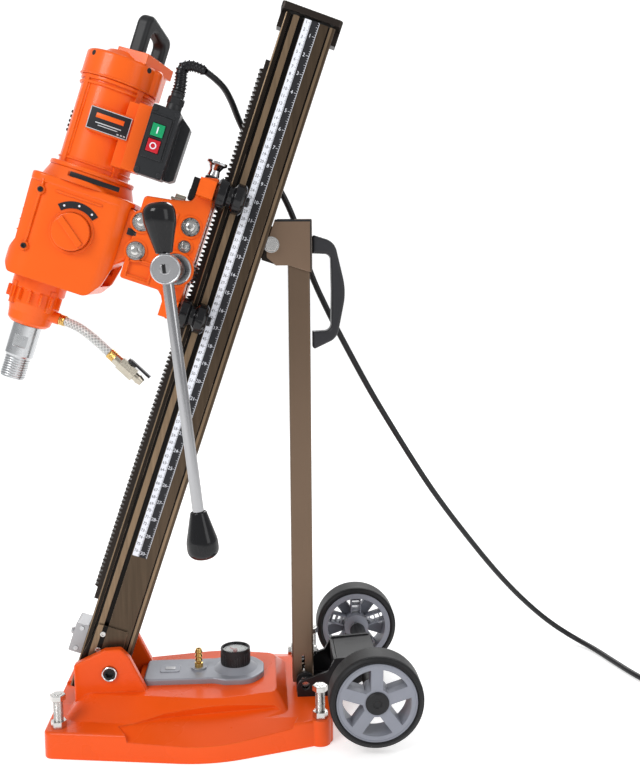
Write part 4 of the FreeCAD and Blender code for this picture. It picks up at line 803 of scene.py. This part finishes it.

# ---------------------------------------------------------------- water hose

HOSE = 0.012
HOSE_ROUTE = [(-213.7, -8, 444), (-196, -14, 444), (-178, -24, 442), (-160, -31, 436.5), (-142, -34, 428.5),
              (-124, -34, 420)]
STRANDS, STRAND_PITCH, STRAND_R = 6, 0.032, 0.00035
hose_line = smooth_line([from_mast(point) for point in HOSE_ROUTE])
hose = Piece("water_hose_tube", "carriage", "hose_clear", "hose_clear", None)
hose.sweep(hose_line, HOSE / 2, 24)
hose = hose.done("water_hose", angle=60)
braid = Piece("hose_braid", "carriage", "braid", "hose_clear", None)
for hand in (-1, 1):
    for strand in range(STRANDS):
        line, across = [], Y.copy()
        for k, (point, walked) in enumerate(zip(hose_line, distances(hose_line))):
            ahead = (hose_line[min(k + 1, len(hose_line) - 1)] - hose_line[max(k - 1, 0)]).normalized()
            across = (across - ahead * across.dot(ahead)).normalized()
            a = hand * 2 * math.pi * (walked / STRAND_PITCH) + strand * 2 * math.pi / STRANDS
            out = across * math.cos(a) + ahead.cross(across) * math.sin(a)
            line.append(point + out * (HOSE / 2 + 0.00012))
        braid.sweep(line, STRAND_R, 5)
braid = braid.done(angle=60)
ferrule = Piece("hose_ferrules", "carriage", "brass", "brass")
for at, towards in ((HOSE_ROUTE[0], HOSE_ROUTE[1]), (HOSE_ROUTE[-1], HOSE_ROUTE[-2])):
    reach = (Vector(towards) - Vector(at)).normalized()
    ferrule.lathe([(0, -1.0), (7.4, -1.0), (7.6, 0), (7.0, 1.4), (7.5, 2.8), (7.0, 4.2), (7.5, 5.6),
                   (7.0, 7.0), (7.5, 8.4), (7.1, 10.0), (6.2, 10.4), (0, 10.4)], at, reach, 32)
ferrule = ferrule.done()

# ---------------------------------------------------------------- mast, scale and strut

ZERO = 932.0  # where both scales would begin, under the mast's cap
PRINT_FACE, INCH_FACE, SCALE_MIDDLE = -30.82, -30.68, 545.0
CENTIMETRES, INCHES = 76, 30
INCH = 25.4
white = Piece("scale_centimetres", "mast", "white_print", "scale_print")
white.box(9.5, 0.24, 761.6, (-16.45, -30.66, SCALE_MIDDLE), 0)
white.done()
ticks = Piece("scale_ticks", "mast", "black_print", "scale_print")
for k in range(6, 768):
    wide = 3.2 if k % 10 == 0 else (2.2 if k % 5 == 0 else 1.2)
    ticks.box(wide, 0.12, 0.36, (-11.9 - wide / 2, PRINT_FACE, ZERO - k), 0)
for k in range(1, CENTIMETRES + 1):
    ticks.write(str(k), 4.4, (-17.9, PRINT_FACE, ZERO - 10 * k), 0.05, 0.44)
ticks.done()
inches = Piece("scale_inches", "mast", "white_print", "scale_print")
inches.box(0.5, 0.12, 761.0, (-0.95, INCH_FACE, SCALE_MIDDLE), 0)
for k in range(2, 242):
    wide = 4.2 if k % 8 == 0 else (2.9 if k % 4 == 0 else 1.7)
    inches.box(wide, 0.12, 0.42, (-1.1 - wide / 2, INCH_FACE, ZERO - INCH / 8 * k), 0)
for k in range(1, INCHES + 1):
    inches.write(str(k), 5.0, (-8.2, INCH_FACE, ZERO - INCH * k), 0.05, 0.46)
inches.done()
grips = Piece("mast_fixings", "mast", "zinc", "zinc")
for z in (-20.0, 20.0, 44.0):
    for side in (-1, 1):
        socket_screw(grips, (-26.0, side * 33.0, z), side * Y, 4.0)
grips.done()
lines = Piece("mast_cap_trim", "mast", "black_plastic", "black_plastic")
for x in (-46, 18):
    for y in (-22, 22):
        lines.disc(4.0, 0.9, (x, y, 938.0), Z, 0.3, 24)
lines.done()
stop = Piece("depth_stop_screw", "mast", "steel", "steel")
socket_screw(stop, (-69.6, 0, 23.5), AHEAD, 4.4)
for z in (8.0, 38.0):
    stop.disc(3.4, 1.0, (-57.0, -20.2, z), NEAR, 0.3, 20)
stop.done()

clamp_bolt = Piece("strut_clamp_bolt", "strut", "zinc", "zinc", FLAT)
hex_bolt(clamp_bolt, (140.4, 0, 88), -X, 11.0, 5.0)
hex_bolt(clamp_bolt, (170.6, 0, 88), X, 11.0, 5.0)
clamp_bolt.done()

# ---------------------------------------------------------------- base, gauge and levelling screws

PLATE_TOP, GAUGE_X, GAUGE_FLOOR = 65.5, 58.0, 89.5
GAUGE_MARKS, KNURLS, FIGURE_R, SCREW_PITCH = 40, 36, 17.0, 1.72

ring = Piece("pivot_rings", "base", "chrome", "chrome", Matrix.Translation(PIVOT))
for side in (-1, 1):
    ring.ring(9.4, 1.3, (0, side * 54.4, 0), Y, 48, 10)
ring.done()
blank = Piece("blank_plate", "base", "stop_grey", "stop_grey", FLAT)
blank.box(14, 9, 0.8, (-36, 0, PLATE_TOP + 1.3), 0.2)
blank.done()
dial = Piece("gauge_dial", "base", "dial_white", "scale_print", FLAT)
dial.disc(18.4, 0.3, (GAUGE_X, 0, GAUGE_FLOOR), Z, 0.1, 56)
dial.done()
figures = Piece("gauge_figures", "base", "black_print", "black_plastic", FLAT)
for k in range(GAUGE_MARKS + 1):
    a = math.radians(225 - 270 * k / GAUGE_MARKS)
    deep, thick = (3.2, 0.55) if k % 5 == 0 else (1.6, 0.3)
    reach = FIGURE_R - deep / 2
    figures.box(deep, thick, 0.14, (GAUGE_X + reach * math.cos(a), reach * math.sin(a), GAUGE_FLOOR + 0.36),
                0, Matrix.Rotation(a, 4, "Z"))
figures.done()
bezel = Piece("gauge_bezel", "base", "black_metal", "black_metal", FLAT)
bezel.ring(19.8, 1.5, (GAUGE_X, 0, 94.4), Z, 64, 12)
for k in range(KNURLS):
    a = 2 * math.pi * k / KNURLS
    bezel.box(1.0, 1.4, 16.0, (GAUGE_X + 21.0 * math.cos(a), 21.0 * math.sin(a), 82), 0.4,
              Matrix.Rotation(a, 4, "Z"))
bezel.done()
glass = Piece("gauge_glass", "base", "glass", "scale_print", FLAT)
glass.lathe([(0, 92.7), (18.4, 92.7), (18.4, 93.3), (12, 93.9), (0, 94.2)], (GAUGE_X, 0, 0), Z, 56)
glass.done()
for number, (x, y) in enumerate(((-174.4, -105), (-174.4, 105), (174.4, -105), (174.4, 105)), 1):
    thread = Piece(f"levelling_thread_{number}", f"leveller_{number}", "zinc", "zinc", FLAT)
    for k in range(16):
        thread.ring(5.95, 0.55, (x, y, 46.4 + SCREW_PITCH * k), Z, 28, 6)
    thread.lathe([(0, 0), (5.0, 0), (4.4, 0.6), (0, 0.6)], (x, y, 81.4), Z, 28)
    thread.done()

# ---------------------------------------------------------------- wheels

WHEEL = Vector(JOINTS["wheel_near_roll"]["pos_m"]) / MM
SPOKES = 5

for name, side in (("near", -1), ("far", 1)):
    middle = Vector((WHEEL.x, side * abs(WHEEL.y), WHEEL.z))
    out = side * Y
    tread = Piece(f"tyre_beads_{name}", f"wheel_{name}", "tyre", "tyre", FLAT)
    for radius, off, thick in ((56.2, 19.2, 1.1), (61.4, 16.4, 0.9), (61.4, -16.4, 0.9)):
        tread.ring(radius, thick, middle + out * off, out, 96, 8)
    tread.done()
    lip = Piece(f"rim_lip_{name}", f"wheel_{name}", "rim_plain", "rim_grey", FLAT)
    lip.ring(52.4, 1.5, middle + out * 17.6, out, 96, 8)
    lip.done()
    ties = Piece(f"rim_webs_{name}", f"wheel_{name}", "rim_plain", "rim_grey", FLAT)
    for k in range(SPOKES):
        a = math.radians(90 + 360 / SPOKES * k)
        arm = Vector((math.cos(a), 0, math.sin(a)))
        across = Vector((-arm.z, 0, arm.x))
        turn = Matrix.Rotation(-a, 4, "Y")
        for half in (-1, 1):
            ties.box(27.0, 17.0, 1.8, middle + arm * 32.0 + across * (7.0 * half) - out * 2.0, 0.5, turn)
        for radius in (24.0, 32.0, 40.0):
            ties.box(1.8, 15.0, 13.0, middle + arm * radius - out * 1.5, 0.4, turn)
    ties.done()
